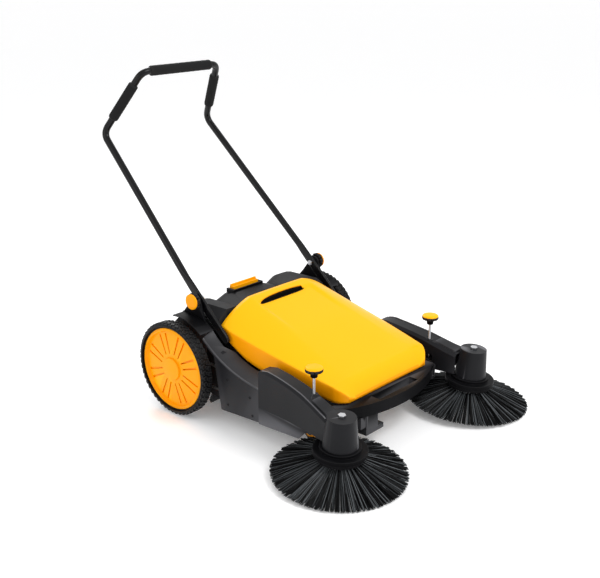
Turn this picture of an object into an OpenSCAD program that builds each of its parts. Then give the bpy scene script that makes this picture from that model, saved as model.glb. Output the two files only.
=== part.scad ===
// Walk behind sweeper with two side brushes, a driven main roller and a lift-out dirt bin.
// Millimetres. Travel is along -Y, +X is the operator's left, +Z is up, the floor is Z = 0.
// Every module is drawn from the rear wheel axle line, and placed() moves it so that the
// origin lies on the floor under the middle of the whole machine.

/* [Body] */
// Width over the two side covers
body_w = 596; // [540:4:720]
// Width inside the bay that takes the dirt bin
bay_w = 476; // [400:4:480]
// Wall of the moulded plastic parts
wall = 3; // [2.5:0.5:4]
// Width of the slot between the frame plates that takes the handle blade
channel_w = 24; // [20:1:26]
// Height of the lower edge of the body above the floor
skirt_h = 45; // [35:1:60]
// Height of the rear hood
hood_h = 322; // [300:1:340]
// Length of the rear hood behind the wheel axle
tail_len = 92; // [88:1:120]
// Distance from the wheel axle forward to the front of the front frame
nose_len = 612; // [590:1:720]

/* [Wheels] */
// Diameter of the tyres
wheel_d = 292; // [270:2:300]
// Width of the tyres
tyre_w = 40; // [30:1:60]
// Diameter of the yellow hub face
hub_d = 258; // [200:2:262]
// Diameter of the stub axles
axle_d = 20; // [14:1:24]
// Gap between the side cover and the inner face of the tyre
wheel_gap = 15; // [12:1:25]

/* [Main roller] */
// Diameter over the roller bristles
roller_d = 170; // [150:2:174]
// Diameter of the roller core
roller_core_d = 64; // [50:1:80]
// Diameter of the roller shaft
roller_shaft_d = 14; // [10:1:18]
// Module of the drive gears
gear_module = 3; // [2.5:0.25:3.25]
// Teeth on the wheel gear
wheel_teeth = 40; // [38:1:44]
// Teeth on the roller pinion
pinion_teeth = 20; // [18:1:22]

/* [Side brushes] */
// Diameter over the side brush bristles
brush_d = 378; // [300:2:400]
// Distance from the wheel axle forward to the side brush centre
brush_lead = 627; // [600:1:720]
// Distance of the side brush centre outside the side cover
brush_out = 13; // [5:1:40]
// Forward tilt of the side brush in degrees
brush_tilt = 4; // [0:0.5:5]
// Outward tilt of the side brush in degrees
brush_lean = 2; // [0:0.5:3]
// Diameter of the guard ring over the bristles
guard_d = 150; // [140:1:180]
// Height of the spindle post
post_h = 170; // [164:1:190]
// Diameter of the spindle post at its top
post_top_d = 80; // [70:1:90]
// Diameter of the spindle post at its foot
post_base_d = 98; // [90:1:110]
// Diameter of the brush spindles
spindle_d = 16; // [12:1:20]

/* [Arms] */
// Width of the arm over its top
arm_w = 57; // [50:1:60]
// Distance from the wheel axle forward to the arm pivot
pivot_lead = 345; // [330:1:360]
// Height of the arm pivot
pivot_h = 125; // [120:1:128]
// Distance from the wheel axle forward to the seam between side cover and arm
seam_lead = 316; // [306:1:320]
// Height of the arm at its rear end
arm_h = 216; // [206:1:226]
// Diameter of the height adjuster knobs
adjuster_d = 51; // [40:1:60]
// Height of the top of the adjuster knobs
adjuster_h = 275; // [265:1:300]
// Distance from the wheel axle forward to the adjusters
adjuster_lead = 504; // [480:1:520]

/* [Dirt bin] */
// Height of the lid at its rear edge
lid_rear_h = 350; // [336:1:370]
// Height of the lid at its front edge
lid_front_h = 200; // [190:1:215]
// Distance from the wheel axle forward to the rear edge of the lid
lid_rear_lead = 104; // [100:1:112]
// Distance from the wheel axle forward to the front edge of the lid
lid_front_lead = 529; // [500:1:540]
// Width of the hand slot in the lid
slot_w = 222; // [120:2:240]

/* [Handle] */
// Diameter of the handle tube
tube_d = 22; // [18:1:28]
// Wall of the handle tube
tube_wall = 1.5; // [1:0.25:2.5]
// Diameter of the foam grips
grip_d = 32; // [28:1:38]
// Height of the top bar
grip_h = 988; // [900:1:1060]
// Distance from the wheel axle back to the top bar
grip_back = 302; // [240:1:360]
// Width between the ends of the top bar
grip_w = 316; // [260:2:400]
// Height of the lower bend
bend_h = 792; // [720:1:840]
// Distance from the wheel axle back to the lower bend
bend_back = 430; // [380:1:480]
// Width between the tubes at the lower bend
bend_w = 442; // [420:2:480]
// Height of the handle pivot
ear_h = 352; // [344:1:366]
// Distance from the wheel axle forward to the handle pivot
ear_lead = 33; // [25:1:40]
// Diameter of the clamp knobs
clamp_d = 48; // [40:1:56]

/* [Casters] */
// Diameter of the front caster wheels
caster_d = 54; // [50:1:56]
// Distance from the wheel axle forward to the caster swivels
caster_lead = 436; // [430:1:440]
// Distance between the caster swivels
caster_w = 384; // [360:2:388]

/* [Hidden] */
SIDES = [1, -1];
LEFT = 1;
RIGHT = -1;
$fn = 64;
running = 0.05;                                  // radial clearance of a running fit
gap = 0.5;                                       // clearance between bodies that move apart
seam = 5;                                        // seam that lets the arm swing
soft_step = 8;                                   // steps along a free curve

// Stations across the machine, outwards from the middle
x_bay = bay_w / 2;
x_plate = x_bay + wall;                          // outer face of the inner frame plate
x_ear = x_plate + channel_w;                     // inner face of the ear plate
ear_t = 6;                                       // thickness of the ear plate
x_cover = body_w / 2;                            // outer face of the side cover
x_tyre = x_cover + wheel_gap;                    // inner face of the tyre
x_hub = x_tyre + tyre_w;                         // outer face of the wheel
x_brush = x_cover + brush_out;                   // side brush centre
x_arm = x_cover + 6 - arm_w;                     // inner face of the arm
x_rod = x_arm + arm_w / 2 - 2;                   // height adjuster

// Wheels and main roller
axle_h = wheel_d / 2;
roller_h = roller_d / 2;
gear_distance = gear_module * (wheel_teeth + pinion_teeth) / 2;
roller_lead = sqrt(pow(gear_distance, 2) - pow(axle_h - roller_h, 2));
x_gear = x_ear + ear_t + 3;                      // inner face of the gears
gear_w = 9;                                      // width of the gears
belt_d = 6;                                      // diameter of the round belts
x_belt = x_gear + gear_w + 5.5;                   // plane of the wheel belt
wheel_pulley_r = 40;
arm_pulley_r = 18;
x_belt_2 = x_belt - 12;                          // plane of the arm belt
shaft_end = x_gear + gear_w;

// Side brushes
brush_r = brush_d / 2;
tilt_all = acos(cos(brush_tilt) * cos(brush_lean));
brush_z = brush_r * sin(tilt_all);               // height of the middle of the tip circle
guard_z = 70;                                    // foot of the guard along the spindle
front_reach = brush_lead + brush_r * cos(brush_tilt);

// Handle
handle_angle = atan2(bend_h - ear_h, bend_back + ear_lead);
blade_t = 10;                                    // thickness of the flattened tube end
x_blade = x_plate + channel_w / 2;
blade_len = 160;                                 // blade below the pivot
blade_up = 90;                                   // blade above the pivot
blade_w = tube_d + 5;                            // width of the flattened tube end
bend_l = 30;                                     // length of each side of a tube bend
bend = [bend_w / 2, bend_back, bend_h];
corner = [grip_w / 2, grip_back, grip_h];
pivot = [x_blade, -ear_lead, ear_h];
clamp_bolt_d = 10;
riser = corner - bend;
riser_len = norm(riser);
joint_at = 123;                                  // joint in the riser, inside the foam grip
joint = bend + riser * (joint_at / riser_len);
handle_foot = pivot + (blade_up - 12) * [0, cos(handle_angle), sin(handle_angle)];
handle_line = bent(handle_foot, bend, joint, bend_l);
rear_reach = max([for (p = handle_line) p[1]]) + tube_d / 2;
origin_shift = (front_reach - rear_reach) / 2;

// Lid, as stations [distance forward of the axle, height of the middle]
lid_side_w = x_bay + 2;                          // half width of the lid at its widest
lid_len = lid_front_lead - lid_rear_lead;
lid_slope = (lid_rear_h - lid_front_h) / lid_len;

// Points of a curve from a to c that leans towards b
function curve(a, b, c, n) = [for (i = [0:n])
    let (t = i / n) (1 - t) * (1 - t) * a + 2 * t * (1 - t) * b + t * t * c];

// Points of an arc about c, in degrees
function arc(c, r, from, to, n) = [for (i = [0:n])
    let (a = from + (to - from) * i / n) c + r * [cos(a), sin(a)]];

function mix(a, b, t) = a + (b - a) * t;

// Points of a tube's centre line from a to c, with a soft bend of length l at b
function bent(a, b, c, l) = let (u = (a - b) / norm(a - b), v = (c - b) / norm(c - b))
    concat([a], curve(b + l * u, b, b + l * v, soft_step), [c]);

// Moves a piece drawn from the axle line to the part's own origin
module placed() translate([0, origin_shift, 0]) children();

// Mirrors a piece drawn on the +X side to the side s
module on_side(s) mirror([s < 0 ? 1 : 0, 0, 0]) children();

// A plate between two stations across the machine, with its outline given as [y, z]
module plate(x0, x1) translate([x0, 0, 0]) rotate([90, 0, 90]) linear_extrude(x1 - x0) children();

// A cylinder along X between two stations
module shaft_x(x0, x1, y, z, d) translate([x0, y, z]) rotate([0, 90, 0]) cylinder(h = x1 - x0, d = d);

// A straight round bar between two points
module bar(a, b, d) {
    v = b - a;
    translate(a)
        rotate([0, acos(v[2] / norm(v)), atan2(v[1], v[0])])
            cylinder(h = norm(v), d = d);
}

// A closed skin over rings that each run out along a path and back along its other side
module skin(rings) {
    n = len(rings[0]);
    m = len(rings);
    last = (m - 1) * n;
    polyhedron(
        points = [for (ring = rings) for (p = ring) p],
        faces = concat(
            [for (i = [0:n / 2 - 2]) let (j = n - 1 - i) each [[i, i + 1, j], [i + 1, j - 1, j]]],
            [for (k = [0:m - 2]) for (i = [0:n - 1]) let (j = (i + 1) % n, a = k * n, b = a + n)
                each [[a + i, b + i, b + j], [a + i, b + j, a + j]]],
            [for (i = [0:n / 2 - 2]) let (j = n - 1 - i)
                each [[last + i + 1, last + i, last + j], [last + j - 1, last + i + 1, last + j]]]
        ),
        convexity = 6
    );
}

// Outline of a spur gear with straight flanks, slim enough to run freely
module gear_outline(teeth, phase) {
    pitch_r = gear_module * teeth / 2;
    step = 360 / teeth;
    root_r = pitch_r - 1.25 * gear_module;
    tip_r = pitch_r + 0.8 * gear_module;
    polygon([for (i = [0:teeth - 1]) for (c = [[-0.28, root_r], [-0.1, tip_r], [0.1, tip_r], [0.28, root_r]])
        let (a = phase + step * (i + c[0])) c[1] * [cos(a), sin(a)]]);
}

// A groove for a round belt, cut into a pulley of radius r about Z at height 0
module belt_groove(r) rotate_extrude() translate([r, 0]) circle(d = belt_d + 1);

// Side frames: inner plate, ear plate for the handle, floor of the channel and wheel arch
arch_r = wheel_d / 2 + 15;
deck_lead = 158;                                 // front face of the wheel space
frame_low = skirt_h + 12;

// Height of the deck beside the lid, at a distance y forward of the axle
deck_inner = curve([92, 272], [180, 178], [seam_lead, 176], soft_step);
deck_outer = curve([86, 252], [176, 172], [seam_lead, 156], soft_step);

module inner_plate() {
    plate(x_bay, x_plate) polygon(concat(
        [[tail_len - 4, frame_low], [tail_len - 4, 250], [60, hood_h - 32], [-88, hood_h - 32]],
        [for (p = deck_inner) [-p[0], p[1] - 8]],
        [[-lid_front_lead + 20, 146], [-nose_len + 60, 132], [-nose_len + 60, 90]],
        [[-caster_lead + 50, 90], [-caster_lead + 70, frame_low]]
    ));
}

module ear_plate() {
    difference() {
        plate(x_ear, x_ear + ear_t) union() {
            translate([-ear_lead, ear_h]) circle(r = 17);
            polygon(concat(
                [[tail_len - 4, frame_low + 40], [tail_len - 4, 236]],
                curve([60, 268], [22, 300], [-ear_lead + 15, ear_h + 8], soft_step),
                curve([-ear_lead - 15, ear_h + 8], [-66, 300], [-86, 258], soft_step),
                [[-128, 214], [-deck_lead, 196], [-deck_lead, frame_low]]
            ));
        }
        shaft_x(x_ear - 1, x_ear + ear_t + 1, -ear_lead, ear_h, clamp_bolt_d + 2 * running);
    }
}

module wheel_arch() {
    plate(x_ear, x_tyre + 3) polygon(concat(
        arc([0, axle_h], arch_r, 82, 128, 16),
        arc([0, axle_h], arch_r - wall, 128, 82, 16)
    ));
}

module side_frame(s) {
    pin_boss_d = 30;
    color("dimgray") on_side(s) difference() {
        union() {
            inner_plate();
            ear_plate();
            wheel_arch();
            // Floor of the handle channel, and the lug that stops the blade
            plate(x_bay, x_ear + ear_t) translate([-deck_lead + 6, 172]) square([deck_lead + 60, wall]);
            plate(x_bay, x_ear) translate([-deck_lead - 6, 172]) square([14, 28]);
            // Bosses for the wheel axle, the roller bush and the arm pivot pin
            shaft_x(x_bay, x_ear + ear_t, 0, axle_h, axle_d + 22);
            shaft_x(x_bay, x_ear, -roller_lead, roller_h, 30);
            shaft_x(x_bay, min(x_arm, x_belt_2 - 6) - gap, -pivot_lead, pivot_h, pin_boss_d);
            // Lug under the height adjuster
            translate([x_bay, -adjuster_lead - 14, 128]) cube([x_rod + 5 - x_bay, 28, 6]);
        }
        shaft_x(x_bay - 1, x_ear + ear_t + 1, 0, axle_h, axle_d);
        shaft_x(x_bay - 1, x_ear + ear_t + 1, -roller_lead, roller_h, 24);
        shaft_x(x_bay - 1, x_arm, -pivot_lead, pivot_h, 12);
    }
}

module side_cover(s) {
    function low(i) = i < 3 ? deck_outer[i][1] - 8 : skirt_h + (i - 3) * 8 / (soft_step - 3);
    function path(i, t) = let (a = deck_inner[i], b = deck_outer[i]) [
        [i < 3 ? x_ear - 4 : x_plate + 0.2, -a[0], a[1] - t], [x_cover - 6, -b[0], b[1] + 3 - t],
        [x_cover - t, -b[0], b[1] - 2], [x_cover - t, -b[0], low(i)]];
    color("#38393d") on_side(s) {
        skin([for (i = [soft_step:-1:0]) let (back = path(i, wall))
            concat(path(i, 0), [for (k = [3:-1:0]) back[k]])]);
    }
}

// Front frame: curved cross bar with the carry slot, its skirt and the caster plates
module nose_outline(inset) {
    r = 470;
    intersection() {
        translate([0, -nose_len + r + inset]) circle(r = r, $fn = 96);
        translate([-x_bay + 12 + inset, -nose_len]) square([2 * (x_bay - 12 - inset), 90 - inset]);
    }
}

module front_frame() {
    bar_low = 106;
    bar_top = 142;
    slot_half = 92;
    color("#333437") difference() {
        union() {
            translate([0, 0, bar_low]) linear_extrude(bar_top - bar_low) nose_outline(0);
            // Skirt under the bar
            translate([-145, -nose_len + 24, skirt_h]) cube([79, 30, bar_low - skirt_h + 1]);
            translate([-168, -nose_len + 26, skirt_h + 27]) cube([24, 26, bar_low - skirt_h - 26]);
            // Rails back to the casters
            for (s = SIDES) on_side(s) {
                translate([x_bay - 64, -nose_len + 60, 88]) cube([64 - gap, nose_len - caster_lead - 34, 8]);
                translate([x_bay - 64, -nose_len + 60, 88]) cube([50, 6, bar_low - 87]);
                translate([caster_w / 2, -caster_lead, 88]) cylinder(h = 22, d = 26);
            }
        }
        // Hollow under the bar, open below
        translate([0, 0, bar_low - 1]) linear_extrude(bar_top - bar_low - 3) difference() {
            nose_outline(4);
            translate([-slot_half - 6, -nose_len + 16]) square([2 * slot_half + 12, 40]);
            for (s = SIDES) translate([s * caster_w / 2, -caster_lead]) circle(d = 27);
        }
        // Carry slot through the bar
        translate([-slot_half, -nose_len + 20, 60]) cube([2 * slot_half, 30, 100]);
        for (s = SIDES) translate([s * caster_w / 2, -caster_lead, 80]) cylinder(h = 26, d = 12 + 2 * running);
    }
}

// Rear hood over the roller, as a bent wall that follows the humps across the machine
function hood_top(x) =
    x < 62 ? hood_h - 4 :
    x < 118 ? mix(hood_h - 4, hood_h - 24, (x - 62) / 56) :
    x < 165 ? mix(hood_h - 24, hood_h, (x - 118) / 47) :
    x < 205 ? hood_h : mix(hood_h, hood_h - 26, (x - 205) / (x_bay - 205));

function hood_path(x, t) = let (h = hood_top(x) - t, y1 = tail_len - t) concat(
    [[x, -lid_rear_lead + 8 + t, h - 34 + t], [x, -lid_rear_lead + 8 + t, h]],
    [for (p = curve([18, h - 2], [y1, h - 12], [y1, h - 90], soft_step)) [x, p[0], p[1]]],
    [[x, y1, skirt_h]]);

latch_h = hood_h - 6;                            // height of the latch pin

module rear_hood() {
    half = [62, 90, 118, 142, 165, 185, 205, x_bay - gap];
    stations = concat([for (i = [len(half) - 1:-1:0]) half[i]], [for (x = half) -x]);
    function at(x, path) = [for (p = path) [x, p[1], p[2]]];
    function ring(x) = let (inner = hood_path(abs(x), wall), n = len(inner))
        at(x, concat(hood_path(abs(x), 0), [for (i = [n - 1:-1:0]) inner[i]]));
    color("#2f3033") difference() {
        union() {
            skin([for (x = stations) ring(x)]);
            // Seat of the latch
            translate([-66, 14, latch_h - 16]) cube([132, 34, 22]);
        }
        // Recess and pin bore of the latch
        translate([-57, 18.5, latch_h - 10.5]) cube([114, 33.5, 24.5]);
        shaft_x(-62, 62, 34, latch_h, 6);
    }
}

module roller_baffle() {
    color("#26272a") {
        translate([-x_bay + gap, -roller_lead - roller_h - 6, 128])
            cube([bay_w - 2 * gap, wall, 72]);
        // Lip over the roller
        translate([-x_bay + gap, -roller_lead - roller_h - 6, 197]) cube([bay_w - 2 * gap, 56, wall]);
    }
}

module rear_flap() {
    color("#141414") translate([-x_bay + 4, tail_len + 0.5, 8]) cube([bay_w - 8, 4, 62]);
}

module stub_axles() {
    color("silver") for (s = SIDES) on_side(s) {
        shaft_x(x_bay - 2, x_hub - 9, 0, axle_h, axle_d);
        shaft_x(x_bay - 6, x_bay, 0, axle_h, axle_d + 8);
    }
}

module cover_screws() {
    spots = [[-190, 148], [-280, 120], [-190, 70], [-290, 66]];
    color("silver") for (s = SIDES) on_side(s) for (p = spots) shaft_x(x_cover + 0.1, x_cover + 2.2, p[0], p[1], 9);
}

module roller_bushes() {
    color("ivory") for (s = SIDES) on_side(s) difference() {
        shaft_x(x_bay, x_ear + ear_t, -roller_lead, roller_h, 24);
        shaft_x(x_bay - 1, x_ear + ear_t + 1, -roller_lead, roller_h, roller_shaft_d + 2 * running);
    }
}

// Outline of a tight loop about two circles
module loop_outline(a, ra, b, rb) {
    along = atan2(b[1] - a[1], b[0] - a[0]);
    lift = asin((ra - rb) / norm(b - a));
    polygon(concat(arc(a, ra, along + 90 - lift, along + 270 + lift, 24),
        arc(b, rb, along - 90 + lift, along + 90 - lift, 16)));
}

// Belt about two pulleys that turn about X
module belt_loop(x, a, ra, b, rb) plate(x - belt_d / 2, x + belt_d / 2) difference() {
    loop_outline(a, ra + belt_d, b, rb + belt_d);
    loop_outline(a, ra, b, rb);
}

module wheel_belts() {
    color("#1a1a1a") for (s = SIDES) on_side(s)
        belt_loop(x_belt, [0, axle_h], wheel_pulley_r + gap, [-pivot_lead, pivot_h], arm_pulley_r + gap);
}

module arm_pivot_pins() {
    color("silver") for (s = SIDES) on_side(s) {
        shaft_x(x_bay - 1, x_cover + 1, -pivot_lead, pivot_h, 12);
        shaft_x(x_bay - 3, x_bay, -pivot_lead, pivot_h, 18);
    }
}

// Rear wheels
module tyre(s) {
    r = wheel_d / 2;
    rim_r = hub_d / 2 - 2;
    color("#1b1b1c") on_side(s) translate([x_tyre, 0, axle_h]) rotate([0, 90, 0]) rotate_extrude($fn = 96)
        polygon([[rim_r, 1], [r - 8, 0], [r - 2, 4], [r, 12], [r, tyre_w - 12], [r - 2, tyre_w - 4],
            [r - 8, tyre_w], [rim_r + 5, tyre_w - 2], [rim_r + 5, tyre_w - 8], [rim_r, tyre_w - 9]]);
}

module wheel_hub(s) {
    rim_r = hub_d / 2 - 2;
    boss_r = 34;
    pockets = 8;
    color("#ffa800") on_side(s) translate([x_tyre, 0, axle_h]) rotate([0, 90, 0]) difference() {
        rotate_extrude($fn = 96) polygon([[axle_d / 2 + running, 4], [rim_r - 0.1, 4], [rim_r - 0.1, tyre_w - 6],
            [rim_r - 8, tyre_w - 3], [rim_r - 12, tyre_w - 12], [boss_r + 2, tyre_w - 8],
            [boss_r, tyre_w - 2], [12, tyre_w], [0, tyre_w], [0, tyre_w - 6], [axle_d / 2 + running, tyre_w - 6]]);
        // Hollow back of the wheel
        translate([0, 0, -1]) difference() {
            cylinder(h = tyre_w - 17, r = rim_r - 6);
            cylinder(h = tyre_w, r = boss_r);
            for (i = [0:pockets - 1]) rotate(i * 360 / pockets) translate([0, -2, 0]) cube([rim_r, 4, tyre_w]);
        }
        // Pairs of narrow recesses that leave a spoke between them
        for (i = [0:pockets - 1]) rotate((i + 0.5) * 360 / pockets) for (s = SIDES)
            translate([0, 0, tyre_w - 16]) linear_extrude(12) polygon([
                [boss_r + 12, s * 7], [rim_r - 17, s * 10], [rim_r - 17, s * 17], [boss_r + 12, s * 11]]);
    }
}

module wheel_gear(s) {
    bore = axle_d + 2 * running;
    color("#e8e4d8") on_side(s) translate([x_gear, 0, axle_h]) rotate([90, 0, 90]) difference() {
        union() {
            linear_extrude(gear_w) gear_outline(wheel_teeth, 0);
            translate([0, 0, gear_w]) cylinder(h = x_tyre + 4 - x_gear - gear_w, r = wheel_pulley_r);
        }
        translate([0, 0, -1]) cylinder(h = 60, d = bore);
        translate([0, 0, x_belt - x_gear]) belt_groove(wheel_pulley_r + 2);
        for (i = [0:5]) rotate(i * 60 + 30) translate([28, 0, -1]) cylinder(h = gear_w + 40, r = 9);
    }
}

// Main roller
module roller_core() {
    half = x_bay - 8;
    color("#3a3a3a") difference() {
        shaft_x(-half, half, -roller_lead, roller_h, roller_core_d);
        shaft_x(-half - 1, half + 1, -roller_lead, roller_h, roller_shaft_d);
    }
}

module roller_bristles() {
    half = x_bay - 10;
    rows = 8;
    row_t = 14;
    color("#161616") difference() {
        intersection() {
            shaft_x(-half, half, -roller_lead, roller_h, roller_d);
            translate([-half, -roller_lead, roller_h]) rotate([90, 0, 90]) {
                cylinder(h = 2 * half, d = roller_core_d + 6);
                for (i = [0:rows - 1]) rotate((i + 0.5) * 360 / rows)
                    translate([-row_t / 2, 0, 0]) cube([row_t, roller_d, 2 * half]);
            }
        }
        shaft_x(-half - 1, half + 1, -roller_lead, roller_h, roller_core_d + 0.2);
    }
}

module roller_shaft() {
    color("silver") shaft_x(-x_ear - ear_t - 3, shaft_end, -roller_lead, roller_h, roller_shaft_d);
}

// The pinion sits on the left end of the roller shaft, in mesh with the left wheel gear
module roller_pinion() {
    toward = atan2(axle_h - roller_h, roller_lead);
    turn_in = toward * wheel_teeth / pinion_teeth + 180 + toward + 180 / pinion_teeth;
    color("#e8e4d8") translate([x_gear, -roller_lead, roller_h]) rotate([90, 0, 90]) difference() {
        linear_extrude(gear_w) gear_outline(pinion_teeth, turn_in);
        translate([0, 0, -1]) cylinder(h = gear_w + 2, d = roller_shaft_d);
    }
}

// Side brush arms
module arm_pulley(s) {
    color("#d8d4c8") on_side(s) translate([x_belt_2 - 6, -pivot_lead, pivot_h]) rotate([90, 0, 90]) difference() {
        cylinder(h = x_belt - x_belt_2 + 12, r = arm_pulley_r);
        translate([0, 0, -1]) cylinder(h = 40, d = 12 + 2 * running);
        translate([0, 0, 6]) belt_groove(arm_pulley_r + 2);
        translate([0, 0, 6 + x_belt - x_belt_2]) belt_groove(arm_pulley_r + 2);
    }
}

// Puts children on the spindle line of a side brush, with its foot at the tip circle
module on_spindle() translate([x_brush, -brush_lead, brush_z]) rotate([brush_tilt, brush_lean, 0]) children();

// Inside and outside faces of the arm at a distance forward of the axle, as [x0, x1, low, high]
function arm_station(lead) = let (t = (lead - seam_lead) / (brush_lead - seam_lead)) [
    mix(x_arm, x_brush - post_top_d / 2 + 3, t * t), mix(x_cover + 6, x_brush + post_top_d / 2 - 3, t * t)];

module arm_shell() {
    leads = [seam_lead + seam, 352, 400, 450, 490, 530, 570, brush_lead - 24];
    drops = [0, -6, 0, 8, 16, 28, 40, 48];
    low = 104;
    function path(i, t) = let (a = arm_station(leads[i]), h = arm_h - drops[i] - t, y = -leads[i]) [
        [a[1] - t, y, low], [a[1] - t, y, h - 6], [a[1] - 6, y, h],
        [a[0] + 8, y, h], [a[0] + t, y, h - 8], [a[0] + t, y, low]];
    skin([for (i = [0:len(leads) - 1]) let (back = path(i, wall))
        concat(path(i, 0), [for (k = [5:-1:0]) back[k]])]);
}

module arm(s) {
    skirt_front = brush_lead - 70;
    color("#38393d") on_side(s) difference() {
        union() {
            arm_shell();
            on_spindle() translate([0, 0, guard_z + 14]) cylinder(
                h = post_h - guard_z - 14, d1 = post_base_d, d2 = post_top_d);
            // Outer skirt, down to just above the floor
            plate(x_cover + 6 - wall, x_cover + 6) polygon([
                [-seam_lead - seam, arm_h - 20], [-seam_lead - seam, skirt_h + 8],
                [-brush_lead + 152, skirt_h + 14], [-brush_lead + 128, skirt_h + 40],
                [-skirt_front, skirt_h + 46], [-skirt_front, arm_h - 40]]);
            // Cheeks about the pivot pin
            plate(x_arm + 1, x_arm + 6) translate([-pivot_lead, pivot_h]) circle(d = 40);
            plate(x_cover - 2, x_cover + 5) translate([-pivot_lead, pivot_h]) circle(d = 40);
            // Boss of the adjuster thread
            translate([x_rod, -adjuster_lead, 168]) cylinder(h = arm_h - 168 - 22, d = 24);
        }
        // Hollow post round the spindle tube
        on_spindle() translate([0, 0, guard_z + 8]) difference() {
            cylinder(h = post_h - guard_z - 12, d1 = post_base_d - 6, d2 = post_top_d - 6);
            cylinder(h = 260, d = spindle_d + 20);
        }
        shaft_x(x_arm - 1, x_cover + 2, -pivot_lead, pivot_h, 12 + 2 * running);
        on_spindle() cylinder(h = 260, d = spindle_d + 2 * running);
        translate([x_rod, -adjuster_lead, 100]) cylinder(h = 140, d = 8 + 2 * running);
        // Way past the adjuster lug
        translate([x_arm - 1, -adjuster_lead - 22, 60]) cube([40, 44, 90]);
    }
}

module brush_guard(s) {
    color("#2b2c2f") on_side(s) on_spindle() difference() {
        union() {
            translate([0, 0, guard_z]) cylinder(h = 5, d = guard_d);
            translate([0, 0, guard_z - 8]) cylinder(h = 8, d = guard_d);
            translate([0, 0, guard_z + 5]) cylinder(h = 8.5, d = post_base_d + 16);
        }
        translate([0, 0, guard_z - 9]) cylinder(h = 9, d = guard_d - 6);
        translate([0, 0, guard_z - 10]) cylinder(h = 30, d = spindle_d + 2 * running);
    }
}

module brush_disc(s) {
    color("#2a2a2c") on_side(s) on_spindle() difference() {
        union() {
            translate([0, 0, 50]) cylinder(h = 14, d = guard_d - 14);
            translate([0, 0, 36]) cylinder(h = 14, d = 60);
        }
        translate([0, 0, 30]) cylinder(h = 40, d = spindle_d);
    }
}

module brush_bristles(s) {
    color("#121212") on_side(s) on_spindle() rotate_extrude($fn = 96)
        polygon([[34, 49.9], [67, 49.9], [80, 40], [110, 27], [brush_r, 6], [brush_r, 0], [150, 0], [90, 14]]);
}

module brush_spindle(s) {
    color("silver") on_side(s) on_spindle() {
        translate([0, 0, 34]) cylinder(h = post_h - 34 + 1, d = spindle_d);
        translate([0, 0, 28]) cylinder(h = 6, d = 26);
        translate([0, 0, post_h + 1]) cylinder(h = 6, d = 22, $fn = 6);
    }
}

// Round belt from the arm pulley about X to the pulley on the spindle, turned a quarter
module arm_belt(s) {
    z_run = pivot_h + arm_pulley_r + gap + belt_d / 2;
    z_low = pivot_h - arm_pulley_r - gap - belt_d / 2;
    z_spindle = 122;
    color("#1a1a1a") on_side(s) {
        bar([x_belt_2, -pivot_lead - 20, z_run - 4], [x_brush - 20, -brush_lead + 66, z_spindle + 20], belt_d);
        bar([x_belt_2, -pivot_lead - 20, z_low], [x_brush - 20, -brush_lead + 66, z_spindle], belt_d);
    }
}

// Height adjusters
module adjuster_knob(s) {
    color("#ffc400") on_side(s) translate([x_rod, -adjuster_lead, 0]) difference() {
        rotate_extrude() polygon([[0, adjuster_h - 32], [9, adjuster_h - 32], [11, adjuster_h - 17],
            [adjuster_d / 2 - 3, adjuster_h - 15], [adjuster_d / 2, adjuster_h - 11], [adjuster_d / 2, adjuster_h - 5],
            [adjuster_d / 2 - 3, adjuster_h - 1], [0, adjuster_h]]);
        translate([0, 0, adjuster_h - 40]) cylinder(h = 20, d = 8);
    }
}

module adjuster_rod(s) {
    foot = 134.4;
    color("silver") on_side(s) translate([x_rod, -adjuster_lead, foot])
        cylinder(h = adjuster_h - 20 - foot, d = 8);
}

// Handle
// A round tube swept along points, with ref a direction that the tube never follows
module swept_tube(points, d, t, ref) {
    sides = 24;
    m = len(points);
    function ring(i, r) = let (
        w = points[min(i + 1, m - 1)] - points[max(i - 1, 0)],
        u = cross(w, ref) / norm(cross(w, ref)),
        v = cross(w, u) / norm(w))
        [for (k = [0:sides - 1]) points[i] + r * (cos(360 * k / sides) * u + sin(360 * k / sides) * v)];
    function wrap(a, b, flip) = [for (k = [0:sides - 1]) let (n = (k + 1) % sides)
        each flip ? [[a + k, b + n, b + k], [a + k, a + n, b + n]] : [[a + k, b + k, b + n], [a + k, b + n, a + n]]];
    inside = m * sides;
    polyhedron(
        points = concat([for (i = [0:m - 1]) each ring(i, d / 2)], [for (i = [0:m - 1]) each ring(i, d / 2 - t)]),
        faces = concat(
            [for (i = [0:m - 2]) each wrap(i * sides, (i + 1) * sides, false)],
            [for (i = [0:m - 2]) each wrap(inside + i * sides, inside + (i + 1) * sides, true)],
            wrap(inside, 0, false),
            wrap(inside + (m - 1) * sides, (m - 1) * sides, true)
        ),
        convexity = 8
    );
}

module handle_tube(s) {
    color("#151515") on_side(s) difference() {
        union() {
            swept_tube(handle_line, tube_d, tube_wall, [1, 0, 0]);
            // Flattened end, with its corners cut
            translate(pivot) rotate([handle_angle, 0, 0]) plate(-blade_t / 2, blade_t / 2) polygon([
                [blade_up, -blade_w / 2], [blade_up, blade_w / 2], [8 - blade_len, blade_w / 2],
                [-blade_len, blade_w / 2 - 8], [-blade_len, 8 - blade_w / 2], [8 - blade_len, -blade_w / 2]]);
        }
        shaft_x(x_blade - blade_t, x_blade + blade_t, -ear_lead, ear_h, clamp_bolt_d + 2 * running);
    }
}

module handle_bow() {
    half = bent(joint, corner, [0, grip_back, grip_h], bend_l);
    color("#151515") swept_tube(
        concat(half, [for (i = [len(half) - 2:-1:0]) [-half[i][0], half[i][1], half[i][2]]]),
        tube_d, tube_wall, cross(riser, [1, 0, 0]));
}

module grip_sleeve(a, b) difference() {
    bar(a, b, grip_d);
    bar(a - (b - a), b + (b - a), tube_d + 0.2);
}

module grip(s) color("#1e1e1e") on_side(s) grip_sleeve(bend + riser * 0.24, bend + riser * 0.80);

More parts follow.
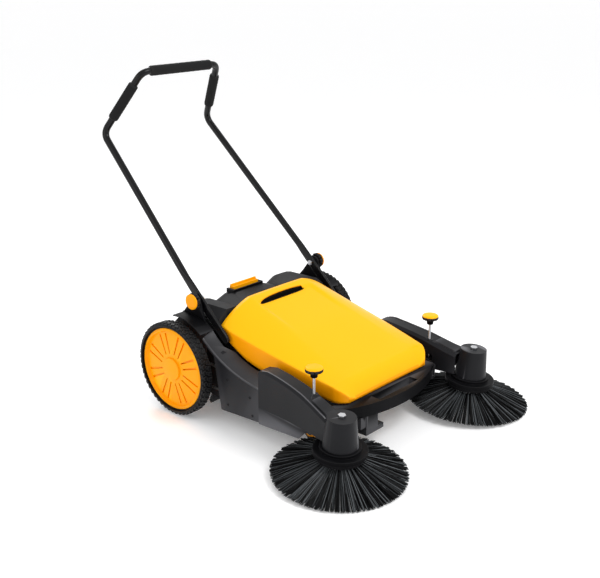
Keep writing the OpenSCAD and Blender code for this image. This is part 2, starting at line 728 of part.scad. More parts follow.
module grip_top() {
    half = [corner[0] - 30, 0, 0];
    middle = [0, grip_back, grip_h];
    color("#1e1e1e") grip_sleeve(middle - half, middle + half);
}

module clamp_nuts() {
    color("silver") for (s = SIDES) on_side(s) translate([x_blade - blade_t / 2 - 7, -ear_lead, ear_h])
        rotate([0, 90, 0]) difference() {
            cylinder(h = 7, d = 18, $fn = 6);
            translate([0, 0, -1]) cylinder(h = 9, d = clamp_bolt_d + 2 * running);
        }
}

module clamp_knob(s) {
    x0 = x_ear + ear_t + 1;
    lobes = 7;
    color("#ffb400") on_side(s) {
        shaft_x(x_blade - blade_t / 2 - 9, x0 + 2, -ear_lead, ear_h, clamp_bolt_d);
        translate([x0, -ear_lead, ear_h]) rotate([0, 90, 0]) {
            difference() {
                cylinder(h = 14, d = clamp_d + 4);
                for (i = [0:lobes - 1]) rotate(i * 360 / lobes) translate([clamp_d / 2 + 6, 0, -1])
                    cylinder(h = 16, r = 8);
            }
            translate([0, 0, 14]) cylinder(h = 6, d1 = clamp_d, d2 = clamp_d - 3);
        }
    }
}

// Dirt bin: shell of the lid, and the tray under it
function lid_station(lead, t) = let (
    u = min(1, max(0, (lead - lid_rear_lead) / lid_len)),
    over = max(0, lead - lid_front_lead),
    mid = lid_rear_h - lid_slope * (min(lead, lid_front_lead) - lid_rear_lead) - over * 0.8 - t,
    crease = mix(lid_rear_h - 68, lid_front_h - 4, u) - over * 0.8 - t,
    edge = mix(lid_side_w, lid_side_w - 28, u * u) - over * 2.2 - t,
    low = (lead < seam_lead ? lookup(lead, deck_inner) + 1.5 : mix(178, 149, (lead - seam_lead) / (lid_front_lead - seam_lead)))
        - (t > 0 ? 30 : 0),
    y = -lead) concat(
        [[edge, y, low], [edge, y, crease - 6], [edge - 6, y, crease]],
        [for (k = [1:3]) [mix(edge - 6, 121, k / 4), y, mix(crease, mid - 2, sin(90 * k / 4))]],
        [[118, y, mid - 1], [60, y, mid], [-60, y, mid], [-118, y, mid - 1]],
        [for (k = [3:-1:1]) [-mix(edge - 6, 121, k / 4), y, mix(crease, mid - 2, sin(90 * k / 4))]],
        [[-edge + 6, y, crease], [-edge, y, crease - 6], [-edge, y, low]]);

module bin_lid() {
    leads = [lid_rear_lead, lid_rear_lead + 12, 150, 200, 250, seam_lead, 380, 440, 490, lid_front_lead];
    front = [lid_front_lead + 12, lid_front_lead + 24];
    slot_lead = 150;
    color("#ffc400") difference() {
        skin([for (l = concat(leads, front)) lid_station(l, 0)]);
        skin([for (l = concat([lid_rear_lead + wall], [for (i = [1:len(leads) - 1]) leads[i]],
            [lid_front_lead + 12, lid_front_lead + 20])) lid_station(l, wall)]);
        // Hand slot
        translate([-slot_w / 2, -slot_lead - 14, lid_rear_h - 60]) cube([slot_w, 22, 80]);
    }
}

tray_rear = roller_lead + roller_d / 2 + 12;
tray_front = caster_lead - 44;

module bin_tray() {
    tray_w = bay_w - 8;
    tray_top = 150;
    floor_h = 42;
    color("#2c2d30") difference() {
        translate([-tray_w / 2, -tray_front, floor_h]) cube([tray_w, tray_front - tray_rear, tray_top - floor_h]);
        translate([-tray_w / 2 + wall, -tray_front + wall, floor_h + wall])
            cube([tray_w - 2 * wall, tray_front - tray_rear - 2 * wall, tray_top]);
        // Mouth that faces the roller
        translate([-tray_w / 2 + 12, -tray_rear - wall - 1, floor_h + 12]) cube([tray_w - 24, 3 * wall, 68]);
    }
}

module rear_latch() {
    color("#ffb400") {
        translate([-56, 26, latch_h - 4]) cube([112, 18, 16]);
        translate([-56, 36, latch_h - 4]) cube([112, 6, 22]);
        shaft_x(-61, 61, 34, latch_h, 6 - 2 * running);
    }
}

// Front casters
caster_r = caster_d / 2;
caster_trail = 5;

module caster_fork(s) {
    color("#2a2a2c") on_side(s) translate([caster_w / 2, -caster_lead, 0]) {
        translate([0, 0, 80]) cylinder(h = 24, d = 12);
        translate([-17, -14, 74]) cube([34, 34, 6]);
        translate([0, 0, 80]) cylinder(h = 6.5, d = 22);
        for (x = [-17, 13]) translate([x, 0, 0]) {
            translate([0, caster_trail - 8, caster_r]) cube([4, 16, 76 - caster_r]);
            translate([0, caster_trail, caster_r]) rotate([0, 90, 0]) cylinder(h = 4, d = 16);
        }
        shaft_x(-17, 17, caster_trail, caster_r, 8);
    }
}

module caster_wheel(s) {
    color("#ffb400") on_side(s) translate([caster_w / 2, -caster_lead + caster_trail, caster_r])
        rotate([0, 90, 0]) difference() {
            translate([0, 0, -11]) cylinder(h = 22, d = caster_d);
            translate([0, 0, -12]) cylinder(h = 24, d = 8 + 2 * running);
        }
}

placed() side_frame(LEFT);  // side_frame_left
placed() side_frame(RIGHT);  // side_frame_right
placed() side_cover(LEFT);  // side_cover_left
placed() side_cover(RIGHT);  // side_cover_right
placed() front_frame();
placed() rear_hood();
placed() roller_baffle();
placed() rear_flap();
placed() stub_axles();
placed() cover_screws();
placed() roller_bushes();
placed() wheel_belts();
placed() arm_pivot_pins();
placed() tyre(LEFT);  // tyre_left
placed() tyre(RIGHT);  // tyre_right
placed() wheel_hub(LEFT);  // wheel_hub_left
placed() wheel_hub(RIGHT);  // wheel_hub_right
placed() wheel_gear(LEFT);  // wheel_gear_left
placed() wheel_gear(RIGHT);  // wheel_gear_right
placed() roller_core();
placed() roller_bristles();
placed() roller_shaft();
placed() roller_pinion();
placed() arm_pulley(LEFT);  // arm_pulley_left
placed() arm_pulley(RIGHT);  // arm_pulley_right
placed() arm(LEFT);  // arm_left
placed() arm(RIGHT);  // arm_right
placed() brush_guard(LEFT);  // brush_guard_left
placed() brush_guard(RIGHT);  // brush_guard_right
placed() arm_belt(LEFT);  // arm_belt_left
placed() arm_belt(RIGHT);  // arm_belt_right
placed() brush_disc(LEFT);  // brush_disc_left
placed() brush_disc(RIGHT);  // brush_disc_right
placed() brush_bristles(LEFT);  // brush_bristles_left
placed() brush_bristles(RIGHT);  // brush_bristles_right
placed() brush_spindle(LEFT);  // brush_spindle_left
placed() brush_spindle(RIGHT);  // brush_spindle_right
placed() adjuster_knob(LEFT);  // adjuster_knob_left
placed() adjuster_knob(RIGHT);  // adjuster_knob_right
placed() adjuster_rod(LEFT);  // adjuster_rod_left
placed() adjuster_rod(RIGHT);  // adjuster_rod_right
placed() handle_tube(LEFT);  // handle_tube_left
placed() handle_tube(RIGHT);  // handle_tube_right
placed() handle_bow();
placed() grip(LEFT);  // grip_left
placed() grip(RIGHT);  // grip_right
placed() grip_top();
placed() clamp_nuts();
placed() clamp_knob(LEFT);  // clamp_knob_left
placed() clamp_knob(RIGHT);  // clamp_knob_right
placed() bin_lid();
placed() bin_tray();
placed() rear_latch();
placed() caster_fork(LEFT);  // caster_fork_left
placed() caster_fork(RIGHT);  // caster_fork_right
placed() caster_wheel(LEFT);  // caster_wheel_left
placed() caster_wheel(RIGHT);  // caster_wheel_right
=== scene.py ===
import math

import bmesh
import bpy
import numpy as np
from mathutils import Matrix, Vector


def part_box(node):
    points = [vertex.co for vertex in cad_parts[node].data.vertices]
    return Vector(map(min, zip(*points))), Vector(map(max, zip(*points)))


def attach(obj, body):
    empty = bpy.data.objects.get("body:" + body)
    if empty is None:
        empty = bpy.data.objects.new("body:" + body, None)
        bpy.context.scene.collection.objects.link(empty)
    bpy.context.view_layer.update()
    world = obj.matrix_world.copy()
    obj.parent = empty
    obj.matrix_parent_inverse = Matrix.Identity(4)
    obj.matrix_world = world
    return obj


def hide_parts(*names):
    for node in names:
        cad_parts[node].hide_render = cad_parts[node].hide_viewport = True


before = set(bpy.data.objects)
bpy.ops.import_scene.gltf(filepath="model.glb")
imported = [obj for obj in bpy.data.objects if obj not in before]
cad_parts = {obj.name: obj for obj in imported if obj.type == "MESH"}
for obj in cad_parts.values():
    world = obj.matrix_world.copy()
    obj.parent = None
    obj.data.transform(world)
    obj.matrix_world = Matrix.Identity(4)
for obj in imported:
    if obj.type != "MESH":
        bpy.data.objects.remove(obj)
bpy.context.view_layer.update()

# --- Studio -------------------------------------------------------------------------------
# A pale seamless floor, one large soft light from above and in front, and a fill from the
# left. The camera stands at the machine's right front corner, above lid height.
scene = bpy.context.scene
scene.view_settings.view_transform = "Standard"
scene.view_settings.look = "None"

axle = (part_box("stub_axles")[0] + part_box("stub_axles")[1]) / 2      # middle of the wheel axle line


def placed(name, data):
    """A new object of this mesh, light or camera in the scene."""
    thing = bpy.data.objects.new(name, data)
    scene.collection.objects.link(thing)
    return thing


camera_data = bpy.data.cameras.new("studio_camera")
camera_data.sensor_fit = "HORIZONTAL"
camera_data.sensor_width = 36.0
camera_data.lens = 59.21
camera_data.clip_end = 60.0
camera = placed("studio_camera", camera_data)
turn, fall = math.radians(48.12), math.radians(18.69)
camera.location = (-2.1285, axle.y - 2.1161, 1.3267)
looks = Vector((math.sin(turn) * math.cos(fall), math.cos(turn) * math.cos(fall), -math.sin(fall)))
camera.rotation_euler = looks.to_track_quat("-Z", "Y").to_euler()
scene.camera = camera

world = bpy.data.worlds.new("studio_white")
world.use_nodes = True
backdrop = world.node_tree.nodes["Background"]
backdrop.inputs["Color"].default_value = (1.0, 1.0, 1.0, 1.0)
sight = world.node_tree.nodes.new("ShaderNodeLightPath")
glow = world.node_tree.nodes.new("ShaderNodeMapRange")
glow.inputs["To Min"].default_value = 0.90                           # lights the machine
glow.inputs["To Max"].default_value = 1.30                           # seen as a clean white backdrop
world.node_tree.links.new(sight.outputs["Is Camera Ray"], glow.inputs["Value"])
world.node_tree.links.new(glow.outputs["Result"], backdrop.inputs["Strength"])
scene.world = world


def softbox(name, place, aim, size, power):
    data = bpy.data.lights.new(name, "AREA")
    data.shape = "DISK"
    data.size = size
    data.energy = power
    lamp = placed(name, data)
    lamp.location = place
    lamp.rotation_euler = (Vector(aim) - Vector(place)).to_track_quat("-Z", "Y").to_euler()


softbox("key", (0.6, -2.2, 3.0), (0.0, -0.1, 0.1), 1.6, 52)
softbox("fill", (-3.2, 0.6, 1.8), (0.0, 0.0, 0.2), 2.2, 16)
softbox("back", (1.2, 2.6, 2.4), (0.0, 0.1, 0.2), 1.4, 30)

floor_mesh = bpy.data.meshes.new("studio_floor")
floor_mesh.from_pydata([(-30, -30, 0), (30, -30, 0), (30, 30, 0), (-30, 30, 0)], [], [(0, 1, 2, 3)])
floor = placed("studio_floor", floor_mesh)
floor_paint = bpy.data.materials.new("floor_paint")
floor_paint.use_nodes = True
paint = floor_paint.node_tree.nodes["Principled BSDF"]
paint.inputs["Base Color"].default_value = (0.93, 0.93, 0.935, 1.0)
paint.inputs["Roughness"].default_value = 0.55
paint.inputs["Emission Color"].default_value = (1.0, 1.0, 1.0, 1.0)
paint.inputs["Emission Strength"].default_value = 0.15
floor_mesh.materials.append(floor_paint)

# --- Side frames, covers and cross frame ----------------------------------------------------
# Dark polypropylene mouldings, screwed together into the chassis. Their visible edges are
# softly rounded by the mould, their skin is finely spark-eroded and a little scuffed.


def node_in(tree, kind, values=None, **settings):
    """A node with its settings and inputs; a value that is a node or socket is linked."""
    node = tree.nodes.new(kind)
    for key, value in settings.items():
        setattr(node, key, value)
    for key, value in (values or {}).items():
        if isinstance(value, bpy.types.Node):
            value = value.outputs[0]
        if isinstance(value, bpy.types.NodeSocket):
            tree.links.new(value, node.inputs[key])
        else:
            node.inputs[key].default_value = value
    return node


def math_in(tree, operation, *values):
    return node_in(tree, "ShaderNodeMath", dict(enumerate(values)), operation=operation)


def soft_mask_group():
    """Noise of two sizes, worn edges and settled dust, as masks that every finish shares."""
    group = bpy.data.node_groups.new("moulded_skin", "ShaderNodeTree")
    for name, value in (("Grain Scale", 900.0), ("Cloud Scale", 9.0), ("Edge Start", 0.52), ("Dust Amount",
            0.3)):
        socket = group.interface.new_socket(name, in_out="INPUT", socket_type="NodeSocketFloat")
        socket.default_value = value
    for name in ("Grain", "Cloud", "Edge", "Dust"):
        group.interface.new_socket(name, in_out="OUTPUT", socket_type="NodeSocketFloat")
    inp = node_in(group, "NodeGroupInput")
    out = node_in(group, "NodeGroupOutput")
    place = node_in(group, "ShaderNodeTexCoord").outputs["Object"]
    grain = node_in(group, "ShaderNodeTexNoise", {"Vector": place, "Scale": inp.outputs["Grain Scale"],
            "Detail": 2.0})
    cloud = node_in(group, "ShaderNodeTexNoise", {"Vector": place, "Scale": inp.outputs["Cloud Scale"],
            "Detail": 5.0})
    shape = node_in(group, "ShaderNodeNewGeometry")
    edge = node_in(group, "ShaderNodeMapRange", {"Value": shape.outputs["Pointiness"],
            "From Min": inp.outputs["Edge Start"], "From Max": 0.62}, interpolation_type="SMOOTHSTEP")
    up = node_in(group, "ShaderNodeSeparateXYZ", {"Vector": shape.outputs["Normal"]})
    settled = node_in(group, "ShaderNodeMapRange", {"Value": up.outputs["Z"], "From Min": 0.55,
            "From Max": 1.0}, interpolation_type="SMOOTHSTEP")
    patchy = math_in(group, "MULTIPLY", settled, cloud)
    dust = math_in(group, "MULTIPLY", patchy, inp.outputs["Dust Amount"])
    for name, source in (("Grain", grain), ("Cloud", cloud), ("Edge", edge), ("Dust", dust)):
        group.links.new(source.outputs[0], out.inputs[name])
    return group


moulded_skin = soft_mask_group()


def finish_of(name, base, shade, worn, rough, grain=900.0, bump=0.08, depth=0.0002, dust=0.25, metal=0.0,
        coat=0.0, cloud=9.0, specular=0.5, edge_start=0.52, edge_gain=1.0):
    """A solid finish: base mottled towards shade, brighter along worn edges, dusty where it faces up."""
    mat = bpy.data.materials.new(name)
    mat.use_nodes = True
    tree = mat.node_tree
    skin = tree.nodes["Principled BSDF"]
    for socket, value in (("Metallic", metal), ("Specular IOR Level", specular), ("Coat Weight", coat),
            ("Coat Roughness", 0.12)):
        skin.inputs[socket].default_value = value
    masks = node_in(tree, "ShaderNodeGroup", {"Grain Scale": grain, "Cloud Scale": cloud,
            "Edge Start": edge_start, "Dust Amount": dust}, node_tree=moulded_skin)

    def mixed(a, b, mask, gain):
        strength = math_in(tree, "MULTIPLY", masks.outputs[mask], gain)
        colours = [(*c, 1.0) if isinstance(c, tuple) else c for c in (a, b)]
        node = node_in(tree, "ShaderNodeMix", {"Factor": strength, "A": colours[0], "B": colours[1]},
                data_type="RGBA")
        return node.outputs["Result"]

    mottled = mixed(base, shade, "Cloud", 0.9)
    edged = mixed(mottled, worn, "Edge", edge_gain)
    dusty = mixed(edged, (0.32, 0.30, 0.27), "Dust", 0.35)
    polish = node_in(tree, "ShaderNodeMapRange", {"Value": masks.outputs["Cloud"], "To Min": rough - 0.07,
            "To Max": rough + 0.09})
    relief = node_in(tree, "ShaderNodeBump", {"Strength": bump, "Distance": depth,
            "Height": masks.outputs["Grain"]})
    for source, socket in ((dusty, "Base Color"), (polish.outputs["Result"], "Roughness"),
            (relief.outputs["Normal"], "Normal")):
        tree.links.new(source, skin.inputs[socket])
    return mat


def mould_radius(piece, width, segments, crease, **settings):
    """Rounds the edges that are sharper than crease degrees."""
    edge = piece.modifiers.new("mould_radius", "BEVEL")
    edge.width = width
    edge.segments = segments
    edge.limit_method = "ANGLE"
    edge.angle_limit = math.radians(crease)
    for key, value in settings.items():
        setattr(edge, key, value)


def softened(name, node, body, material, width=0.0012, segments=2, crease=32.0):
    """A moulded piece over a CAD node's own shape, with its sharp edges rounded by the mould."""
    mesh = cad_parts[node].data.copy()
    mesh.name = name
    shape = bmesh.new()
    shape.from_mesh(mesh)
    bmesh.ops.remove_doubles(shape, verts=shape.verts, dist=0.00002)
    bmesh.ops.dissolve_limit(shape, angle_limit=math.radians(1.0), verts=shape.verts, edges=shape.edges)
    for face in shape.faces:
        face.smooth = True
    shape.to_mesh(mesh)
    shape.free()
    if mesh.attributes.get("custom_normal"):
        mesh.attributes.remove(mesh.attributes["custom_normal"])
    mesh.set_sharp_from_angle(angle=math.radians(crease))
    mesh.materials.clear()
    mesh.materials.append(material)
    piece = placed(name, mesh)
    if width:
        mould_radius(piece, width, segments, crease, harden_normals=True, miter_outer="MITER_ARC")
    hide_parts(node)
    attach(piece, body)
    return piece


def repaint(material, *nodes):
    """A CAD node whose shape is right keeps it, with a better finish."""
    for name in nodes:
        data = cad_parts[name].data
        data.materials.clear()
        data.materials.append(material)


charcoal = finish_of("charcoal_polypropylene", (0.0120, 0.0122, 0.0145), (0.0075, 0.0078, 0.0090), (0.11,
        0.11, 0.12), 0.38, dust=0.02, specular=0.14)
soot = finish_of("black_polypropylene", (0.0045, 0.0045, 0.0052), (0.0028, 0.0028, 0.0034), (0.07, 0.07,
        0.075), 0.40, dust=0.0, specular=0.05)
# The belt covers' upward faces take this lighter charcoal: painted light on their tops, the same plastic as
# their sides.
lit_top_charcoal = finish_of("charcoal_painted_lit_top", (0.0260, 0.0262, 0.0295), (0.0180, 0.0182, 0.0205), (0.20, 0.20,
        0.21), 0.36, dust=0.02, specular=0.28)
both_sides = (("left", 1), ("right", -1))      # a side's name and the sign of its x
for side, s in both_sides:
    softened(f"side_frame_{side}_skin", f"side_frame_{side}", "chassis", soot)
    cover = softened(f"side_cover_{side}_skin", f"side_cover_{side}", "chassis", charcoal,
            0.0016)
    cover.data.materials.append(lit_top_charcoal)
    # Faces that point upwards get the lighter charcoal, painted light.
    for face in cover.data.polygons:
        face.material_index = 1 if face.normal.z > 0.3 else 0
softened("front_frame_skin", "front_frame", "chassis", soot, 0.0022, 3)
softened("rear_hood_skin", "rear_hood", "chassis", soot, 0.0015)
repaint(soot, "roller_baffle", "rear_flap")

# --- Main roller ------------------------------------------------------------------------------
# Eight rows of black nylon tufts, stapled in a dark core on a steel shaft that turns in two
# white acetal bushes. A white pinion on its left end meets the wheel gear.
roller_line = (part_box("roller_shaft")[0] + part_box("roller_shaft")[1]) / 2
roller_low, roller_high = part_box("roller_bristles")


def tree_named(name, inputs):
    """An empty geometry tree with named inputs, and its input and output nodes."""
    tree = bpy.data.node_groups.new(name, "GeometryNodeTree")
    tree.is_modifier = True
    tree.interface.new_socket("Geometry", in_out="INPUT", socket_type="NodeSocketGeometry")
    for socket_name, kind, value in inputs:
        socket = tree.interface.new_socket(socket_name, in_out="INPUT", socket_type=f"NodeSocket{kind}")
        if value is not None:
            socket.default_value = value
    tree.interface.new_socket("Geometry", in_out="OUTPUT", socket_type="NodeSocketGeometry")
    return tree, tree.nodes.new("NodeGroupInput"), tree.nodes.new("NodeGroupOutput")


def coated(tree, inp, out, shape):
    """Ends a geometry tree with its Material input on this shape."""
    coat = node_in(tree, "GeometryNodeSetMaterial", {"Geometry": shape,
            "Material": inp.outputs["Material"]})
    tree.links.new(coat.outputs[0], out.inputs[0])
    return tree


def grown(name, tree, values, base=None):
    """The plain mesh that a geometry tree makes of a base mesh with these named inputs."""
    holder = placed(name, base or bpy.data.meshes.new(name + "_base"))
    made = holder.modifiers.new("made", "NODES")
    made.node_group = tree
    sockets = [item for item in tree.interface.items_tree if item.item_type == "SOCKET"]
    keys = {item.name: item.identifier for item in sockets if item.in_out == "INPUT"}
    for key, value in values.items():
        made[keys[key]] = value
    bpy.context.view_layer.update()
    mesh = bpy.data.meshes.new_from_object(holder.evaluated_get(bpy.context.evaluated_depsgraph_get()))
    holder.modifiers.clear()
    holder.data = mesh
    mesh.name = name
    return holder


def points_mesh(name, points, normals=None):
    mesh = bpy.data.meshes.new(name)
    mesh.from_pydata([tuple(p) for p in points], [], [])
    for key, values in (normals or {}).items():
        layer = mesh.attributes.new(key, "FLOAT_VECTOR", "POINT")
        layer.data.foreach_set("vector", np.array(values, float).ravel())
    return mesh


def tuft_rows_tree():
    """Tapered tufts that stand on given points, each along its own direction."""
    tree, inp, out = tree_named("tuft_rows", (("Root Radius", "Float", 0.002), ("Tip Radius", "Float",
            0.004), ("Length", "Float", 0.05), ("Scatter", "Float", 0.05), ("Seed", "Int", 3), ("Material",
            "Material", None)))
    tuft = node_in(tree, "GeometryNodeMeshCone", {"Vertices": 6, "Radius Top": inp.outputs["Tip Radius"],
            "Radius Bottom": inp.outputs["Root Radius"], "Depth": inp.outputs["Length"]})
    way = node_in(tree, "GeometryNodeInputNamedAttribute", {"Name": "way"}, data_type="FLOAT_VECTOR")
    spread = node_in(tree, "FunctionNodeRandomValue", {"Seed": inp.outputs["Seed"], 0: (-1, -1, -1), 1: (1,
            1, 1)}, data_type="FLOAT_VECTOR")
    amount = node_in(tree, "ShaderNodeVectorMath", {0: spread, "Scale": inp.outputs["Scatter"]},
            operation="SCALE")
    aim = node_in(tree, "ShaderNodeVectorMath", {0: way, 1: amount}, operation="ADD")
    turned = node_in(tree, "FunctionNodeAlignRotationToVector", {"Vector": aim}, axis="Z")
    stood = node_in(tree, "GeometryNodeInstanceOnPoints", {"Points": inp.outputs["Geometry"],
            "Instance": tuft.outputs["Mesh"], "Rotation": turned})
    real = node_in(tree, "GeometryNodeRealizeInstances", {"Geometry": stood})
    smooth = node_in(tree, "GeometryNodeSetShadeSmooth", {"Geometry": real})
    return coated(tree, inp, out, smooth)


nylon = finish_of("black_nylon_bristle", (0.005, 0.005, 0.006), (0.012, 0.012, 0.014), (0.03, 0.03, 0.034),
        0.34, grain=420.0, bump=0.35, depth=0.0004, dust=0.0, cloud=70.0, specular=0.3)
steel = finish_of("zinc_plated_steel", (0.62, 0.63, 0.65), (0.46, 0.47, 0.50), (0.85, 0.86, 0.88), 0.30,
        grain=300.0, bump=0.05, dust=0.05, metal=1.0, cloud=24.0)
acetal = finish_of("white_acetal", (0.72, 0.70, 0.63), (0.60, 0.58, 0.51), (0.85, 0.83, 0.78), 0.40,
        dust=0.2)
roots, ways = [], []
for row in range(8):
    angle = math.radians((row + 0.5) * 45)
    way = Vector((0, math.cos(angle), math.sin(angle)))
    across = Vector((0, -math.sin(angle), math.cos(angle)))
    for line in (-0.0035, 0.0035):
        for i in range(76):
            x = roller_low.x + 0.004 + i * (roller_high.x - roller_low.x - 0.008) / 75
            roots.append(Vector((x + line * 0.4, roller_line.y,
                    roller_line.z)) + way * 0.034 + across * line)
            ways.append(way)
roller_tufts = grown("roller_tufts", tuft_rows_tree(), {"Root Radius": 0.0016, "Tip Radius": 0.0034,
        "Length": 0.0505, "Scatter": 0.012, "Seed": 5, "Material": nylon}, points_mesh("roller_tuft_roots",
        roots, {"way": ways}))
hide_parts("roller_bristles")
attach(roller_tufts, "roller")

repaint(steel, "roller_shaft", "stub_axles", "arm_pivot_pins")
repaint(soot, "roller_core")
repaint(acetal, "roller_bushes", "arm_pulley_left", "arm_pulley_right")
for node, body in (("roller_pinion", "roller"), ("wheel_gear_left", "wheel_left"), ("wheel_gear_right",
        "wheel_right")):
    softened(node + "_toothed", node, body, acetal, 0.0003, 1)

# --- Wheels ------------------------------------------------------------------------------------
# Solid black rubber tyres with two staggered rows of moulded lugs, pressed on glossy yellow
# nylon hubs that run on steel stub axles.
wheel_r = 0.146
rubber = finish_of("treaded_rubber", (0.0022, 0.0022, 0.0025), (0.0045, 0.0045, 0.0045), (0.045, 0.045,
        0.048), 0.33, grain=700.0, bump=0.12, dust=0.06, cloud=30.0, specular=0.12)
hub_yellow = finish_of("yellow_nylon", (1.0, 0.385, 0.0), (0.93, 0.325, 0.0), (1.0, 0.50, 0.004), 0.32,
        grain=600.0, bump=0.02, dust=0.0, coat=0.04, edge_gain=0.5, specular=0.12)


def lathe(name, profile, steps, centre, axis, closed=False, materials=(), pick=None, smooth=40.0):
    """A turned mesh: profile is [(distance along the axis, radius)], closed on itself or by its poles."""
    rows = len(profile)
    axis = Vector(axis).normalized()
    side = axis.orthogonal().normalized()
    other = axis.cross(side)
    points, faces, marks = [], [], []
    for j in range(steps):
        a = 2 * math.pi * j / steps
        ray = side * math.cos(a) + other * math.sin(a)
        points += [Vector(centre) + axis * h + ray * r for h, r in profile]
    for j in range(steps):
        k = (j + 1) % steps
        for i in range(rows if closed else rows - 1):
            n = (i + 1) % rows
            faces.append((j * rows + i, k * rows + i, k * rows + n, j * rows + n))
            marks.append(pick(i) if pick else 0)
    mesh = bpy.data.meshes.new(name)
    mesh.from_pydata([tuple(p) for p in points], [], faces)
    mesh.polygons.foreach_set("material_index", marks)
    shape = bmesh.new()
    shape.from_mesh(mesh)
    bmesh.ops.remove_doubles(shape, verts=shape.verts, dist=0.000001)
    bmesh.ops.dissolve_degenerate(shape, dist=0.0000001, edges=shape.edges)
    bmesh.ops.recalc_face_normals(shape, faces=shape.faces)
    shape.to_mesh(mesh)
    shape.free()
    mesh.shade_smooth()
    mesh.set_sharp_from_angle(angle=math.radians(smooth))
    for material in materials:
        mesh.materials.append(material)
    return placed(name, mesh)


def lug_ring_tree():
    """Rounded blocks set evenly round the x axis, the ring turned by Stagger of one spacing and each block
    leaned by Lean.
    """
    tree, inp, out = tree_named("lug_ring", (("Count", "Int", 44), ("Radius", "Float", 0.14), ("Centre",
            "Vector", (0, 0, 0)), ("Size", "Vector", (0.015, 0.012, 0.007)), ("Stagger", "Float", 0.5),
            ("Lean", "Float", 0.2), ("Material", "Material", None)))
    block = node_in(tree, "GeometryNodeMeshCube", {"Size": inp.outputs["Size"], "Vertices X": 3,
            "Vertices Y": 3, "Vertices Z": 2})
    line = node_in(tree, "GeometryNodeMeshLine", {"Count": inp.outputs["Count"], "Offset": (0, 0, 0)})
    index = node_in(tree, "GeometryNodeInputIndex")
    shifted = math_in(tree, "ADD", index, inp.outputs["Stagger"])
    share = math_in(tree, "DIVIDE", shifted, inp.outputs["Count"])
    angle = math_in(tree, "MULTIPLY", share, 2 * math.pi)
    out_y = math_in(tree, "SINE", angle)
    out_z = math_in(tree, "COSINE", angle)
    ray = node_in(tree, "ShaderNodeCombineXYZ", {"Y": out_y, "Z": out_z})
    reach = node_in(tree, "ShaderNodeVectorMath", {0: ray, "Scale": inp.outputs["Radius"]},
            operation="SCALE")
    spot = node_in(tree, "ShaderNodeVectorMath", {0: reach, 1: inp.outputs["Centre"]}, operation="ADD")
    set_out = node_in(tree, "GeometryNodeSetPosition", {"Geometry": line.outputs["Mesh"], "Position": spot})
    minus = math_in(tree, "MULTIPLY", angle, -1.0)
    spin = node_in(tree, "ShaderNodeCombineXYZ", {"X": minus})
    lean = node_in(tree, "ShaderNodeCombineXYZ", {"Z": inp.outputs["Lean"]})
    twist = node_in(tree, "FunctionNodeEulerToRotation", {0: spin})
    slant = node_in(tree, "FunctionNodeEulerToRotation", {0: lean})
    both = node_in(tree, "FunctionNodeRotateRotation", {"Rotation": twist, "Rotate By": slant},
            rotation_space="LOCAL")
    set_on = node_in(tree, "GeometryNodeInstanceOnPoints", {"Points": set_out,
            "Instance": block.outputs["Mesh"], "Rotation": both})
    real = node_in(tree, "GeometryNodeRealizeInstances", {"Geometry": set_on})
    return coated(tree, inp, out, real)


def joined(name, parts):
    """One mesh object made of several, which are used up."""
    whole = bmesh.new()
    kept = []
    for part in parts:
        offset = len(kept)
        kept += [m for m in part.data.materials]
        before = len(whole.faces)
        whole.from_mesh(part.data)
        whole.faces.ensure_lookup_table()
        for face in whole.faces[before:]:
            face.material_index += offset
    mesh = bpy.data.meshes.new(name)
    whole.to_mesh(mesh)
    whole.free()
    for material in kept:
        mesh.materials.append(material)
    for part in parts:
        bpy.data.objects.remove(part)
    return placed(name, mesh)


lug_ring = lug_ring_tree()
for side, s in both_sides:
    low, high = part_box(f"tyre_{side}")
    inner, outer = (low.x, high.x) if s > 0 else (high.x, low.x)
    width = abs(outer - inner)
    body = f"wheel_{side}"
    centre = (inner, axle.y, wheel_r)
    carcass = [(0.001, 0.1275), (0.0, 0.132), (0.0008, 0.1372), (0.003, 0.1408), (0.007, 0.1426), (0.014,
            0.1432), (0.026, 0.1432), (0.033, 0.1426), (0.037, 0.1408), (0.0392, 0.1376), (0.04, 0.1345),
            (0.0396, 0.1330), (0.0380, 0.1322), (0.0320, 0.1320), (0.0315, 0.1275)]
    tyre = lathe(f"tyre_{side}_carcass", [(s * h, r) for h, r in carcass], 120, centre, (1, 0, 0), True,
            [rubber])
    rings = [tyre]
    for row, (where, stagger, lean, size) in enumerate(((0.0105, 0.0, 0.30, (0.0110, 0.0118, 0.0062)),
            (0.0295, 0.5, -0.30, (0.0110, 0.0118, 0.0062)), (0.0200, 0.25, 0.0, (0.0058, 0.0085, 0.0060)),
            (0.0040, 0.3, 0.10, (0.0050, 0.0104, 0.0066)), (0.0360, 0.8, -0.10, (0.0050, 0.0104, 0.0066)))):
        edge_row = row > 2
        ring = grown(f"tyre_{side}_lugs_{row}", lug_ring, {"Count": 52,
                "Radius": 0.1392 if edge_row else 0.1426, "Centre": (inner + s * where, axle.y, wheel_r),
                "Size": size, "Stagger": stagger, "Lean": lean * s, "Material": rubber})
        rings.append(ring)
    whole = joined(f"tyre_{side}_tread", rings)
    mould_radius(whole, 0.0010, 2, 50)
    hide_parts(f"tyre_{side}")
    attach(whole, body)
    softened(f"wheel_hub_{side}_moulded", f"wheel_hub_{side}", body, hub_yellow, 0.0016, 3,
            24.0)

# --- Cover screws ------------------------------------------------------------------------------
# Pan head screws, plated black, with a cross recess, which hold each belt cover to its frame.
cover_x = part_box("cover_screws")[1].x
screw_spots = ((-0.190, 0.148), (-0.280, 0.120), (-0.190, 0.070), (-0.290, 0.066))


